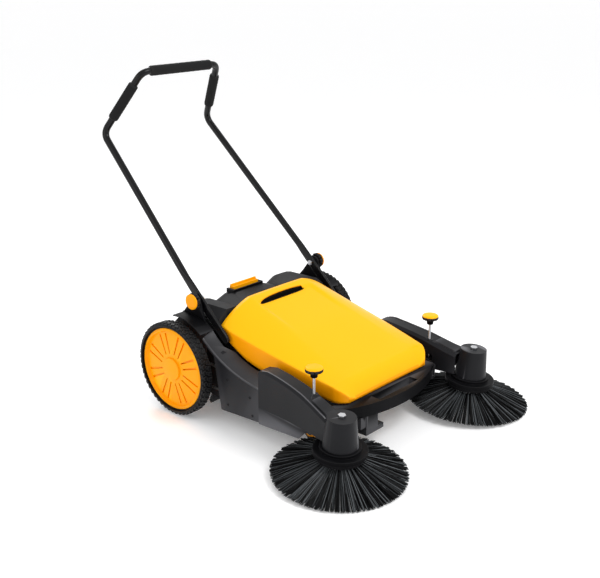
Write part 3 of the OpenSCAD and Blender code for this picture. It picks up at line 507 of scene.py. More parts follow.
def screw_tree():
    """Domed heads with a crossed recess, set on points that face along their normal."""
    tree, inp, out = tree_named("pan_screws", (("Head Radius", "Float", 0.0045), ("Head Height", "Float",
            0.0021), ("Slot Width", "Float", 0.0011), ("Material", "Material", None)))
    head = node_in(tree, "GeometryNodeMeshCylinder", {"Vertices": 24, "Radius": inp.outputs["Head Radius"],
            "Depth": inp.outputs["Head Height"], "Side Segments": 2, "Fill Segments": 3})
    place = node_in(tree, "GeometryNodeInputPosition")
    apart = node_in(tree, "ShaderNodeSeparateXYZ", {0: place})
    flat = node_in(tree, "ShaderNodeCombineXYZ", {"X": apart.outputs["X"], "Y": apart.outputs["Y"]})
    radius = node_in(tree, "ShaderNodeVectorMath", {0: flat}, operation="LENGTH")
    squared = math_in(tree, "POWER", radius.outputs["Value"], 2.0)
    drop = math_in(tree, "MULTIPLY", squared, -45.0)
    top = node_in(tree, "FunctionNodeCompare", {0: apart.outputs["Z"], 1: 0.0})
    down = node_in(tree, "ShaderNodeCombineXYZ", {"Z": drop})
    domed = node_in(tree, "GeometryNodeSetPosition", {"Geometry": head.outputs["Mesh"], "Selection": top,
            "Offset": down})
    long_side = math_in(tree, "MULTIPLY", inp.outputs["Head Radius"], 1.2)
    bar_size = node_in(tree, "ShaderNodeCombineXYZ", {"X": long_side, "Y": inp.outputs["Slot Width"],
            "Z": inp.outputs["Head Height"]})
    bar = node_in(tree, "GeometryNodeMeshCube", {"Size": bar_size})
    raised = node_in(tree, "ShaderNodeCombineXYZ", {"Z": inp.outputs["Head Height"]})
    bar_up = node_in(tree, "GeometryNodeTransform", {"Geometry": bar.outputs["Mesh"],
            "Translation": raised})
    bar_cross = node_in(tree, "GeometryNodeTransform", {"Geometry": bar_up, "Rotation": (0, 0,
            math.pi / 2)})
    cut = node_in(tree, "GeometryNodeMeshBoolean", {0: domed}, operation="DIFFERENCE")
    tree.links.new(bar_cross.outputs[0], cut.inputs[1])
    tree.links.new(bar_up.outputs[0], cut.inputs[1])
    way = node_in(tree, "GeometryNodeInputNamedAttribute", {"Name": "way"}, data_type="FLOAT_VECTOR")
    turned = node_in(tree, "FunctionNodeAlignRotationToVector", {"Vector": way}, axis="Z")
    set_on = node_in(tree, "GeometryNodeInstanceOnPoints", {"Points": inp.outputs["Geometry"],
            "Instance": cut, "Rotation": turned})
    real = node_in(tree, "GeometryNodeRealizeInstances", {"Geometry": set_on})
    return coated(tree, inp, out, real)


black_steel = finish_of("black_zinc_steel", (0.020, 0.020, 0.022), (0.012, 0.012, 0.013), (0.08, 0.08,
        0.085), 0.42, grain=300.0, bump=0.05, dust=0.0, metal=1.0)
spots = [(s * (cover_x - 0.0012), axle.y + y, z) for s in (1, -1) for y, z in screw_spots]
screws = grown("cover_screw_heads", screw_tree(), {"Head Radius": 0.0045, "Head Height": 0.0021,
        "Slot Width": 0.0011, "Material": black_steel}, points_mesh("screw_spots", spots,
        {"way": [(1 if p[0] > 0 else -1, 0, 0) for p in spots]}))
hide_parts("cover_screws")
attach(screws, "chassis")

# --- Belts -------------------------------------------------------------------------------------
# Black polyurethane round belts, from each wheel to its arm pivot and on to its brush.
belt_rubber = finish_of("belt_rubber", (0.014, 0.014, 0.015), (0.022, 0.022, 0.022), (0.05, 0.05, 0.05),
        0.55, dust=0.2)
repaint(belt_rubber, "wheel_belts", "arm_belt_left", "arm_belt_right")

# --- Side brush arms ---------------------------------------------------------------------------
# One charcoal moulding each: a long box that hinges on the frame, a skirt on its outer side and
# a tapered post that carries the brush spindle. A raised rail runs along its top to the post, in a
# lighter charcoal that paints the highlight along the arm's outer edge.
tilt, lean = math.radians(4.0), math.radians(2.0)
brush_x, brush_lead, brush_r = 0.311, 0.627, 0.189
seam_lead = 0.316                                        # where the arm's box begins


def on_spindle(side_sign):
    """Places the spindle's own frame: its foot at the tip circle's middle, z along the spindle."""
    name = "left" if side_sign > 0 else "right"
    lift = brush_r * math.sin(math.acos(math.cos(tilt) * math.cos(lean)))
    return (Matrix.Translation((side_sign * brush_x, axle.y - brush_lead,
            lift)) @ Matrix.Rotation(side_sign * lean, 4, "Y") @ Matrix.Rotation(tilt, 4, "X"))


def face_outwards(mesh):
    shape = bmesh.new()
    shape.from_mesh(mesh)
    bmesh.ops.recalc_face_normals(shape, faces=shape.faces)
    shape.to_mesh(mesh)
    shape.free()


def strip(name, stations, material, body, width=0.0008):
    """A closed bar through cross sections of equal count, with rounded edges."""
    n = len(stations[0])
    points = [tuple(p) for ring in stations for p in ring]
    faces = [tuple(range(n)), tuple(reversed(range(len(points) - n, len(points))))]
    for k in range(len(stations) - 1):
        for i in range(n):
            j = (i + 1) % n
            faces.append((k * n + i, (k + 1) * n + i, (k + 1) * n + j, k * n + j))
    mesh = bpy.data.meshes.new(name)
    mesh.from_pydata(points, [], faces)
    face_outwards(mesh)
    mesh.shade_smooth()
    mesh.set_sharp_from_angle(angle=math.radians(35))
    mesh.materials.append(material)
    piece = placed(name, mesh)
    mould_radius(piece, width, 2, 35, harden_normals=True)
    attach(piece, body)
    return piece


def arm_edges(lead):
    """Inner and outer x of the arm's top, and its height, at a distance forward of the axle."""
    t = (lead - seam_lead) / (brush_lead - seam_lead)
    high_at = np.interp(lead, (0.321, 0.352, 0.400, 0.450, 0.490, 0.530, 0.570, 0.603), (0.216, 0.222,
            0.216, 0.208, 0.200, 0.188, 0.176, 0.168))
    return 0.247 + (0.274 - 0.247) * t * t, 0.304 + (0.348 - 0.304) * t * t, float(high_at)


# A lighter, glossy charcoal whose colour paints highlight lines on edges: on the covers' beads and the
# arms' outer rails.
rail_painted_highlight = finish_of("painted_highlight_rail", (0.060, 0.060, 0.066), (0.034, 0.034, 0.038), (0.30, 0.30, 0.32),
        0.22, dust=0.0, specular=0.5)
# The bead of each belt cover: a thin strip that sweeps down along its upper edge to the arm, in
# the lighter charcoal that paints the highlight along that edge.
for side, s in both_sides:
    highlight_bead = []
    for k in range(25):
        t = k / 24
        lead = 0.086 * (1 - t) ** 2 + 0.176 * 2 * t * (1 - t) + 0.316 * t * t
        z = 0.252 * (1 - t) ** 2 + 0.172 * 2 * t * (1 - t) + 0.156 * t * t
        highlight_bead.append([(s * 0.2960, axle.y - lead, z - 0.003), (s * 0.2960, axle.y - lead, z + 0.0008),
                (s * 0.2934, axle.y - lead, z + 0.0026), (s * 0.2915, axle.y - lead, z - 0.002)])
    strip(f"side_cover_{side}_bead", highlight_bead, rail_painted_highlight, "chassis", 0.0007)
for side, s in both_sides:
    body = f"arm_{side}"
    softened(f"arm_{side}_moulding", f"arm_{side}", body, charcoal, 0.0022, 3)
    softened(f"brush_guard_{side}_ring", f"brush_guard_{side}", body, soot, 0.0018, 3)
    outer_highlight_rail, plateau = [], []
    for lead in np.linspace(0.330, 0.596, 20):
        inner, outer, z = arm_edges(lead)
        y = axle.y - lead
        outer_highlight_rail.append([(s * (outer - 0.0100), y, z - 0.002), (s * (outer - 0.0100), y, z + 0.0018),
                (s * (outer - 0.0062), y, z + 0.0018), (s * (outer - 0.0062), y, z - 0.002)])
        if lead > 0.514:
            rise = 0.0045 * min(1.0, (lead - 0.514) / 0.012)
            plateau.append([(s * (inner + 0.013), y, z - 0.002), (s * (inner + 0.015), y, z + rise),
                    (s * (outer - 0.017), y, z + rise), (s * (outer - 0.015), y, z - 0.002)])
    # The outer rail takes the painted highlight colour along the arm's top outer edge.
    strip(f"arm_{side}_outer_highlight_rail", outer_highlight_rail, rail_painted_highlight, body, 0.0009)
    strip(f"arm_{side}_plateau", plateau, charcoal, body, 0.0012)

# --- Side brushes ------------------------------------------------------------------------------
# Tilted discs with long black nylon strands, which fan out to the floor and end unevenly. The
# disc hangs on a steel spindle through the post, held by a bolt in the post's recessed top.
strand_matt = bpy.data.materials.new("side_brush_strand")
strand_matt.use_nodes = True
strand_tree = strand_matt.node_tree
strand_skin = strand_tree.nodes["Principled BSDF"]
strand_skin.inputs["Specular IOR Level"].default_value = 0.12
# Each strand's random tone picks its colour: most stay near black with a little random variation, and the
# top few percent turn light grey, which paints glints on the brush.
strand_tone = node_in(strand_tree, "ShaderNodeAttribute", attribute_name="tone").outputs["Fac"]
strand_tone_and_glints = node_in(strand_tree, "ShaderNodeValToRGB", {"Fac": strand_tone})
strand_tone_and_glints.color_ramp.elements[0].color = (0.0012, 0.0013, 0.0016, 1)
strand_tone_and_glints.color_ramp.elements[1].position = 0.97
strand_tone_and_glints.color_ramp.elements[1].color = (0.120, 0.130, 0.138, 1)
strand_tone_and_glints.color_ramp.elements.new(0.86).color = (0.0022, 0.0024, 0.0028, 1)
strand_rough = node_in(strand_tree, "ShaderNodeMapRange", {"Value": strand_tone, "To Min": 0.48,
        "To Max": 0.24})
strand_tree.links.new(strand_tone_and_glints.outputs["Color"], strand_skin.inputs["Base Color"])
strand_tree.links.new(strand_rough.outputs["Result"], strand_skin.inputs["Roughness"])


def brush_fan_tree():
    """Strands that leave a ring in tufts and sweep outwards and down, each a little different."""
    tree, inp, out = tree_named("brush_fan", (("Tufts", "Int", 64), ("Strands", "Int", 30), ("Root",
            "Vector", (0.064, 0, 0.048)), ("Bend", "Vector", (0.118, 0, 0.034)), ("Tip", "Vector", (0.188,
            0, 0.003)), ("Strand Radius", "Float", 0.0008), ("Tuft Spread", "Float", 0.05), ("Shortest",
            "Float", 0.95), ("Lowest", "Float", 0.55), ("Seed", "Int", 11), ("Turn", "Rotation", None),
            ("Centre", "Vector", (0, 0, 0)), ("Material", "Material", None)))
    curve = node_in(tree, "GeometryNodeCurveQuadraticBezier", {"Resolution": 6,
            "Start": inp.outputs["Root"], "Middle": inp.outputs["Bend"], "End": inp.outputs["Tip"]})
    total = math_in(tree, "MULTIPLY", inp.outputs["Tufts"], inp.outputs["Strands"])
    line = node_in(tree, "GeometryNodeMeshLine", {"Count": total, "Offset": (0, 0, 0)})
    index = node_in(tree, "GeometryNodeInputIndex")
    tuft = math_in(tree, "DIVIDE", index, inp.outputs["Strands"])
    tuft_no = math_in(tree, "FLOOR", tuft)
    share = math_in(tree, "DIVIDE", tuft_no, inp.outputs["Tufts"])
    base = math_in(tree, "MULTIPLY", share, 2 * math.pi)
    jitter = node_in(tree, "FunctionNodeRandomValue", {2: -1.0, 3: 1.0, "Seed": inp.outputs["Seed"]},
            data_type="FLOAT")
    offset = math_in(tree, "MULTIPLY", jitter.outputs[1], inp.outputs["Tuft Spread"])
    angle = math_in(tree, "ADD", base, offset)
    euler = node_in(tree, "ShaderNodeCombineXYZ", {"Z": angle})
    next_seed = math_in(tree, "ADD", inp.outputs["Seed"], 7.0)
    long = node_in(tree, "FunctionNodeRandomValue", {2: inp.outputs["Shortest"], 3: 1.0, "Seed": next_seed},
            data_type="FLOAT")
    third_seed = math_in(tree, "ADD", inp.outputs["Seed"], 19.0)
    tall = node_in(tree, "FunctionNodeRandomValue", {2: inp.outputs["Lowest"], 3: 1.0, "Seed": third_seed},
            data_type="FLOAT")
    size = node_in(tree, "ShaderNodeCombineXYZ", {"X": long.outputs[1], "Y": long.outputs[1],
            "Z": tall.outputs[1]})
    fan = node_in(tree, "GeometryNodeInstanceOnPoints", {"Points": line.outputs["Mesh"], "Instance": curve,
            "Rotation": euler, "Scale": size})
    # A random tone per strand; the strand material paints the highest tones as light grey glints.
    tone = node_in(tree, "FunctionNodeRandomValue", {2: 0.0, 3: 1.0, "Seed": third_seed}, data_type="FLOAT")
    toned = node_in(tree, "GeometryNodeStoreNamedAttribute", {"Geometry": fan, "Name": "tone",
            "Value": tone.outputs[1]}, data_type="FLOAT", domain="INSTANCE")
    real = node_in(tree, "GeometryNodeRealizeInstances", {"Geometry": toned})
    ring = node_in(tree, "GeometryNodeCurvePrimitiveCircle", {"Resolution": 3,
            "Radius": inp.outputs["Strand Radius"]})
    solid = node_in(tree, "GeometryNodeCurveToMesh", {"Curve": real, "Profile Curve": ring,
            "Fill Caps": True})
    smooth = node_in(tree, "GeometryNodeSetShadeSmooth", {"Geometry": solid})
    stood = node_in(tree, "GeometryNodeTransform", {"Geometry": smooth,
            "Translation": inp.outputs["Centre"], "Rotation": inp.outputs["Turn"]})
    whole = node_in(tree, "GeometryNodeRealizeInstances", {"Geometry": stood})
    return coated(tree, inp, out, whole)


brush_fan = brush_fan_tree()
for side, s in both_sides:
    place = on_spindle(s)
    body = f"side_brush_{side}"
    layers = []
    for layer, (tufts, strands, root, bend, tip, radius, spread, short, lowest, seed) in enumerate(((48, 16,
            (0.064, 0, 0.0495), (0.112, 0, 0.035), (0.1885, 0, 0.0065), 0.0010, 0.022, 0.920, 0.93, 11),
            (84, 38, (0.060, 0, 0.0470), (0.110, 0, 0.029), (0.1880, 0, 0.0040), 0.0011, 0.029, 0.900, 0.50,
            29))):
        layers.append(grown(f"brush_{side}_layer_{layer}", brush_fan, {"Tufts": tufts, "Strands": strands,
                "Root": root, "Bend": bend, "Tip": tip, "Strand Radius": radius, "Tuft Spread": spread,
                "Shortest": short, "Lowest": lowest, "Seed": seed + (s > 0), "Turn": place.to_euler(),
                "Centre": place.to_translation(), "Material": strand_matt}))
    strands_piece = joined(f"brush_{side}_strands", layers)
    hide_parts(f"brush_bristles_{side}")
    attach(strands_piece, body)
    softened(f"brush_disc_{side}_moulding", f"brush_disc_{side}", body, soot, 0.0015)
    softened(f"brush_spindle_{side}_turned", f"brush_spindle_{side}", body, steel, 0.0009)

# --- Height adjusters --------------------------------------------------------------------------
# A zinc plated rod with a rolled thread runs through the arm to a lug on the frame. Its knob is
# a black fluted flange with a yellow cap pressed on.
yellow = finish_of("yellow_polypropylene", (1.0, 0.482, 0.002), (0.98, 0.452, 0.002), (1.0, 0.60, 0.02),
        0.34, grain=1100.0, bump=0.03, dust=0.0, coat=0.03, cloud=5.0, edge_gain=0.35, specular=0.10)


def threaded(name, foot, top, radius, pitch, depth, material):
    """A rod along z with a helical ridge and a chamfer at each end."""
    steps, turns = 18, max(1, round((top.z - foot.z) / pitch))
    rows = turns * 6 + 1
    points, faces = [], []
    for i in range(rows):
        h = i / (rows - 1)
        z = foot.z + (top.z - foot.z) * h
        end = min(1.0, min(i, rows - 1 - i) / 3)
        for j in range(steps):
            phase = (i / 6 - j / steps) % 1.0
            ridge = depth * (1 - abs(2 * phase - 1)) * end
            a = 2 * math.pi * j / steps
            r = radius - depth + ridge - 0.0008 * (1 - end)
            points.append((foot.x + r * math.cos(a), foot.y + r * math.sin(a), z))
    for i in range(rows - 1):
        for j in range(steps):
            k = (j + 1) % steps
            faces.append((i * steps + j, i * steps + k, (i + 1) * steps + k, (i + 1) * steps + j))
    faces += [tuple(reversed(range(steps))), tuple(range((rows - 1) * steps, rows * steps))]
    mesh = bpy.data.meshes.new(name)
    mesh.from_pydata(points, [], faces)
    mesh.shade_smooth()
    mesh.set_sharp_from_angle(angle=math.radians(60))
    mesh.materials.append(material)
    return placed(name, mesh)


def fluted(piece, centre, axis, lobes, depth, from_radius):
    """Presses shallow flutes into the rim of a turned piece."""
    axis = Vector(axis).normalized()
    side = axis.orthogonal().normalized()
    other = axis.cross(side)
    for v in piece.data.vertices:
        ray = v.co - Vector(centre)
        a, b, h = ray.dot(side), ray.dot(other), ray.dot(axis)
        r = math.hypot(a, b)
        if r > from_radius:
            wave = max(0.0, math.cos(lobes * math.atan2(b, a))) ** 2
            cut = depth * wave * min(1.0, (r - from_radius) / 0.003)
            v.co = Vector(centre) + axis * h + (side * a + other * b) * ((r - cut) / r)


for side, s in both_sides:
    low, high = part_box(f"adjuster_rod_{side}")
    middle = (low + high) / 2
    rod = threaded(f"adjuster_{side}_thread", Vector((middle.x, middle.y, low.z)), Vector((middle.x,
            middle.y, high.z)), (high.x - low.x) / 2, 0.0026, 0.0007, steel)
    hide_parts(f"adjuster_rod_{side}")
    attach(rod, f"adjuster_{side}")
    low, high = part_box(f"adjuster_knob_{side}")
    top, r = high.z, (high.x - low.x) / 2
    flange = [(-0.032, 0.0045), (-0.032, 0.0085), (-0.0305, 0.0100), (-0.0200, 0.0108), (-0.0172, 0.0135),
            (-0.0160, r - 0.0045), (-0.0148, r - 0.0012), (-0.0125, r), (-0.0070, r), (-0.0055, r - 0.0010),
            (-0.0050, r - 0.0030)]
    cap = [(-0.0068, r - 0.0012), (-0.0052, r - 0.0006), (-0.0036, r - 0.0008), (-0.0016, r - 0.0028),
            (-0.0006, r - 0.0070), (-0.0002, r * 0.5), (0.0, r * 0.25), (0.0, 0.0)]
    centre = (middle.x, middle.y, top)
    black_flange = lathe(f"adjuster_{side}_flange", flange, 72, centre, (0, 0, 1), False, [soot], smooth=50)
    fluted(black_flange, centre, (0, 0, 1), 12, 0.0014, r - 0.004)
    yellow_cap = lathe(f"adjuster_{side}_cap", cap, 72, centre, (0, 0, 1), False, [yellow], smooth=50)
    for piece, finish in ((black_flange, "black_plastic"), (yellow_cap, "yellow_plastic")):
        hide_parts(f"adjuster_knob_{side}")
        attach(piece, f"adjuster_{side}")

# --- Dirt bin ----------------------------------------------------------------------------------
# The lid is one deep-drawn yellow moulding that slopes to the front, with chamfered rear corners,
# a curved hand slot in a shallow panel and steep flanks, which are painted a deeper orange as
# painted shade. A black tray moves with it on the same body, a small gap below: what holds the two
# together is not modelled.
slot_half, slot_middle, slot_reach = 0.113, -0.0165, 0.0965
lid_rear, lid_front, lid_end, lid_run = 0.104, 0.529, 0.553, 0.425     # distances forward of the axle
lid_top = 0.350


def step_between(a, b, x):
    t = np.clip((x - a) / (b - a), 0, 1)
    return t * t * (3 - 2 * t)


def lid_profile(lead):
    """Middle height, shoulder height, half width and lower edge at a distance forward of the axle."""
    slope = (lid_top - 0.200) / (lid_front - lid_rear)
    u = np.clip((lead - lid_rear) / lid_run, 0, 1)
    past = max(0.0, lead - 0.516)
    middle = lid_top - slope * (lead - lid_rear) - 26.0 * past * past - 0.006 * step_between(0.118,
            lid_rear, lead)
    shoulder = 0.282 + (0.196 - 0.282) * u - 20.0 * past * past - 0.004 * step_between(0.114, lid_rear,
            lead)
    half = 0.240 - 0.028 * u * u - 22.0 * past * past
    low = np.interp(lead, (lid_rear, 0.125, 0.150, 0.165, 0.206, 0.247, 0.275, 0.316, lid_front, lid_end),
            (0.268, 0.247, 0.232, 0.223, 0.201, 0.188, 0.182, 0.1790, 0.1500, 0.1490))
    return middle, shoulder, half, low


def lid_surface():
    """Rows of points from the right lower edge, over the top, to the left lower edge."""
    leads = np.unique(np.round(np.concatenate([np.linspace(lid_rear, 0.112, 5), np.linspace(0.112, 0.128,
            7), np.linspace(0.128, 0.172, 45), np.linspace(0.172, 0.50, 56), np.linspace(0.50, lid_end,
            22)]), 5))
    across = np.unique(np.round(np.concatenate([np.linspace(-1, -0.985, 5), np.linspace(-0.985, -0.90, 7),
            np.linspace(-0.9, -0.52, 16), np.linspace(-0.52, -0.44, 12), np.linspace(-0.44, 0.44, 26),
            np.linspace(0.44, 0.52, 12), np.linspace(0.52, 0.9, 16), np.linspace(0.9, 0.985, 7),
            np.linspace(0.985, 1, 5)]), 5))
    rows = []
    for lead in leads:
        middle, shoulder, half, low = lid_profile(lead)
        flat = 0.121 + 0.030 * np.clip((lead - lid_rear) / lid_run, 0, 1)
        row = []
        for side in (-1, 1):
            row.append([(side * half, low + (shoulder - 0.0022 - low) * k / 5) for k in range(5)])
        left_wall, right_wall = row[1][::-1], row[0]
        ring = []
        for t in across:
            a = abs(t)
            x = a * half
            if x <= flat:
                z = middle - 0.0012 * (x / flat) ** 4
            else:
                w = (x - flat) / (half - flat)
                z = (middle - 0.0012) + (shoulder - middle + 0.0012) * (0.80 * w ** 1.25 + 0.20 * w ** 3)
            z -= 0.0022 * max(0.0, (x - (half - 0.0030)) / 0.0030) ** 2
            ring.append((math.copysign(x, t), z))
        full = right_wall + ring + left_wall
        out = []
        for x, z in full:
            panel = (step_between(slot_half + 0.014, slot_half - 0.004, abs(x)) * step_between(0.140, 0.156,
                    lead) * (1 - step_between(0.165, 0.330, lead)))
            out.append((x, axle.y - lead, z - (0.0055 * panel if z > low + 0.03 else 0.0)))
        rows.append(out)
    return rows


rows = lid_surface()
count = len(rows[0])
points = [p for row in rows for p in row]
faces = [(k * count + i, k * count + i + 1, (k + 1) * count + i + 1,
        (k + 1) * count + i) for k in range(len(rows) - 1) for i in range(count - 1)]
lid_mesh = bpy.data.meshes.new("bin_lid_moulding")
lid_mesh.from_pydata(points, [], faces)
shape = bmesh.new()
shape.from_mesh(lid_mesh)
shape.verts.ensure_lookup_table()
for row, lean in ((0, 0.0008), (len(rows) - 1, -0.0012)):
    line = [shape.verts[row * count + i] for i in range(count)]
    foot = rows[row][0][2]
    lower = [shape.verts.new((v.co.x, v.co.y + lean, foot if row else v.co.z - 0.010)) for v in line]
    shape.verts.ensure_lookup_table()
    for i in range(count - 1):
        shape.faces.new((line[i], lower[i], lower[i + 1], line[i + 1]))
bmesh.ops.remove_doubles(shape, verts=shape.verts, dist=0.00001)
bmesh.ops.recalc_face_normals(shape, faces=shape.faces)
top_face = max(shape.faces, key=lambda f: f.calc_center_median().z)
if top_face.normal.z < 0:
    bmesh.ops.reverse_faces(shape, faces=shape.faces)
shape.to_mesh(lid_mesh)
shape.free()
lid_mesh.shade_smooth()
lid_mesh.set_sharp_from_angle(angle=math.radians(48))
# Near-black for the well under the hand slot: painted shadow.
slot_painted_shadow = finish_of("slot_shadow", (0.0035, 0.0035, 0.0035), (0.002, 0.002, 0.002), (0.01, 0.01, 0.01),
        0.8, dust=0.0, specular=0.1)
# The lid's yellow made deeper orange for its steep flanks: painted shade, the same plastic as the top.
flank_painted_shade = finish_of("yellow_flank_painted_shade", (1.0, 0.375, 0.0), (0.96, 0.335, 0.0), (1.0, 0.46, 0.005),
        0.36, grain=1100.0, bump=0.03, dust=0.0, coat=0.03, cloud=5.0, edge_gain=0.2, specular=0.10)
lid_mesh.materials.append(yellow)
lid_mesh.materials.append(flank_painted_shade)
# Steep faces forward of the rear corners take the deeper orange: painted shade.
for face in lid_mesh.polygons:
    face.material_index = 1 if face.normal.z < 0.42 and face.center.y < axle.y - 0.112 else 0
lid = placed("bin_lid_moulding", lid_mesh)
wall = lid.modifiers.new("wall", "SOLIDIFY")
wall.thickness = 0.0028
wall.offset = -1.0
steps = [math.copysign(1 - (1 - abs(t)) ** 1.6, t) for t in (k / 24 for k in range(-24, 25))]
slot_rim = []
for t in steps:
    x = slot_middle + slot_reach * t
    slot_rim.append((x, 0.150 - 0.0170 * (1 - (x / slot_half) ** 2) ** 0.55))
slot_rim += [(slot_middle + slot_reach * t,
        0.150 + 0.0035 * (1 - t ** 6) ** 0.6) for t in reversed(steps[1:-1])]


def prism(name, outline, heights, material):
    """A closed upright prism over an outline of (x, distance forward of the axle)."""
    n = len(outline)
    corners = [(x, axle.y - lead, z) for z in heights for x, lead in outline]
    sides = [(i, (i + 1) % n, n + (i + 1) % n, n + i) for i in range(n)]
    mesh = bpy.data.meshes.new(name)
    mesh.from_pydata(corners, [], [tuple(reversed(range(n))), tuple(range(n, 2 * n))] + sides)
    face_outwards(mesh)
    mesh.materials.append(material)
    return placed(name, mesh)


cutter = prism("slot_cutter", slot_rim, (0.26, 0.42), flank_painted_shade)
cut = lid.modifiers.new("hand_slot", "BOOLEAN")
cut.object = cutter
cut.operation = "DIFFERENCE"
cut.solver = "EXACT"
bpy.context.view_layer.update()
lid_cut = bpy.data.meshes.new_from_object(lid.evaluated_get(bpy.context.evaluated_depsgraph_get()))
lid.modifiers.clear()
lid.data = lid_cut
bpy.data.objects.remove(cutter)
# A near-black well under the hand slot paints the shadow inside the opening, and its floor follows
# the lid's slope.
well_lead, well_width, well_length = 0.148, 1.035, 1.18      # its middle, and its size over the slot's
well_top, well_floor = [], []
for x, lead in slot_rim:
    x, lead = x * well_width, well_lead + (lead - well_lead) * well_length
    z = lid_profile(lead)[0]
    well_top.append((x, axle.y - lead, z - 0.0034))
    well_floor.append((x * 0.97, axle.y - lead, z - 0.026))
n = len(well_top)
well_mesh = bpy.data.meshes.new("bin_lid_slot_shadow_well")
well_mesh.from_pydata(well_top + well_floor, [], [(i, (i + 1) % n, n + (i + 1) % n,
        n + i) for i in range(n)] + [tuple(range(n, 2 * n))])
well_mesh.materials.append(slot_painted_shadow)
well = placed("bin_lid_slot_shadow_well", well_mesh)
well_wall = well.modifiers.new("wall", "SOLIDIFY")
well_wall.thickness = 0.0012
well_wall.offset = 0.0
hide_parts("bin_lid")
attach(well, "dirt_bin")
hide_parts("bin_lid")
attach(lid, "dirt_bin")
softened("bin_tray_moulding", "bin_tray", "dirt_bin", soot, 0.002, 3)

# --- Rear latch --------------------------------------------------------------------------------
# A glossy yellow nylon bar on a pin, in a recess of the hood, that holds the lid down.
softened("rear_latch_moulding", "rear_latch", "latch", hub_yellow, 0.0018, 3)

# --- Handle ------------------------------------------------------------------------------------
# Steel tube with glossy black powder coat, bent and pressed flat at its lower ends, and joined
# to the bow inside the side grips. Two bolts with fluted knobs clamp it to the frame ears.
handle_paint = finish_of("gloss_black_powder_coat", (0.0030, 0.0030, 0.0035), (0.0050, 0.0050, 0.0055),
        (0.10, 0.10, 0.11), 0.20, grain=260.0, bump=0.10, depth=0.0003, dust=0.0, coat=0.06, edge_gain=0.3,
        specular=0.18)
pivot = Vector((0.253, axle.y - 0.033, 0.352))
bend = Vector((0.221, axle.y + 0.430, 0.792))
corner = Vector((0.158, axle.y + 0.302, 0.988))
riser = corner - bend
join = bend + riser * (0.123 / riser.length)
bend_side, tube_r = 0.030, 0.011
blade_w, blade_half = 0.0135, 0.005                      # the lower end, pressed flat


def soft_bend(a, b, c, steps=12):
    u, v = (a - b).normalized(), (c - b).normalized()
    p, q = b + u * bend_side, b + v * bend_side
    shares = [i / steps for i in range(steps + 1)]
    return [p * (1 - t) ** 2 + b * (2 * t * (1 - t)) + q * t * t for t in shares]


def tube(name, path, halves, sides, ref, material, body, exponents=None, caps=(True, True)):
    """A tube along path; halves gives its half width across ref and along ref at each point."""
    points, faces = [], []
    for i, p in enumerate(path):
        w = (path[min(i + 1, len(path) - 1)] - path[max(i - 1, 0)]).normalized()
        u = w.cross(ref).normalized()
        v = w.cross(u).normalized()
        power = exponents[i] if exponents else 1.0
        for k in range(sides):
            a = 2 * math.pi * k / sides
            ca, sa = math.cos(a), math.sin(a)
            points.append(p + u * (halves[i][0] * math.copysign(abs(ca) ** power,
                    ca)) + v * (halves[i][1] * math.copysign(abs(sa) ** power, sa)))
    for i in range(len(path) - 1):
        for k in range(sides):
            n = (k + 1) % sides
            faces.append((i * sides + k, i * sides + n, (i + 1) * sides + n, (i + 1) * sides + k))
    if caps[0]:
        faces.append(tuple(reversed(range(sides))))
    if caps[1]:
        faces.append(tuple(range((len(path) - 1) * sides, len(path) * sides)))
    mesh = bpy.data.meshes.new(name)
    mesh.from_pydata([tuple(p) for p in points], [], faces)
    face_outwards(mesh)
    mesh.shade_smooth()
    mesh.set_sharp_from_angle(angle=math.radians(50))
    mesh.materials.append(material)
    piece = placed(name, mesh)
    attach(piece, body)
    return piece


def flipped(v):
    return Vector((-v.x, v.y, v.z))


along = Vector((0, bend.y - pivot.y, bend.z - pivot.z)).normalized()
for side, s in both_sides:
    mirror = (lambda v: v.copy()) if s > 0 else flipped
    path, halves, powers = [], [], []
    for d, half_w, half_t, power in ((-0.160, 0.0060, 0.0046, 0.7), (-0.1585, 0.0085, blade_half, 0.5),
            (-0.153, 0.0123, blade_half, 0.40), (-0.145, blade_w, blade_half, 0.35), (-0.10, blade_w,
            blade_half, 0.35), (-0.05, blade_w, blade_half, 0.35), (0.0, blade_w, blade_half, 0.35), (0.045,
            blade_w, blade_half, 0.40), (0.060, 0.0133, 0.0056, 0.55), (0.075, 0.0126, 0.0075, 0.8), (0.090,
            0.0116, 0.0096, 0.95), (0.105, 0.0110, 0.0110, 1.0)):
        shift = Vector((0, 0, 0))
        if d > 0.07:
            t = (d - 0.078) / ((bend - pivot).length - 0.078)
            shift = Vector(((bend.x - pivot.x) * max(0.0, t), 0, 0))
        path.append(mirror(pivot + along * d + shift))
        halves.append((half_w, half_t))
        powers.append(power)
    for p in soft_bend(pivot + along * 0.1, bend, join):
        path.append(mirror(p))
        halves.append((tube_r, tube_r))
        powers.append(1.0)
    path.append(mirror(join))
    halves.append((tube_r, tube_r))
    powers.append(1.0)
    piece = tube(f"handle_{side}_tube", path, halves, 40, Vector((1, 0, 0)), handle_paint, "handle",
            powers)
    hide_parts(f"handle_tube_{side}")
half_bow = [join] + soft_bend(join, corner, Vector((0, corner.y, corner.z)))
bow_path = half_bow + [flipped(p) for p in reversed(half_bow)]
bow = tube("handle_bow_tube", bow_path, [(tube_r, tube_r)] * len(bow_path), 40, riser.cross(Vector((1, 0,
        0))), handle_paint, "handle")
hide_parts("handle_bow")

# --- Foam grips --------------------------------------------------------------------------------
# Closed cell foam sleeves, pushed on the tube, with pinched ends and a fine open skin.
foam = finish_of("closed_cell_foam", (0.0095, 0.0095, 0.0100), (0.0150, 0.0150, 0.0155), (0.03, 0.03, 0.03),
        0.80, grain=1500.0, bump=0.5, depth=0.0006, dust=0.05, specular=0.12)


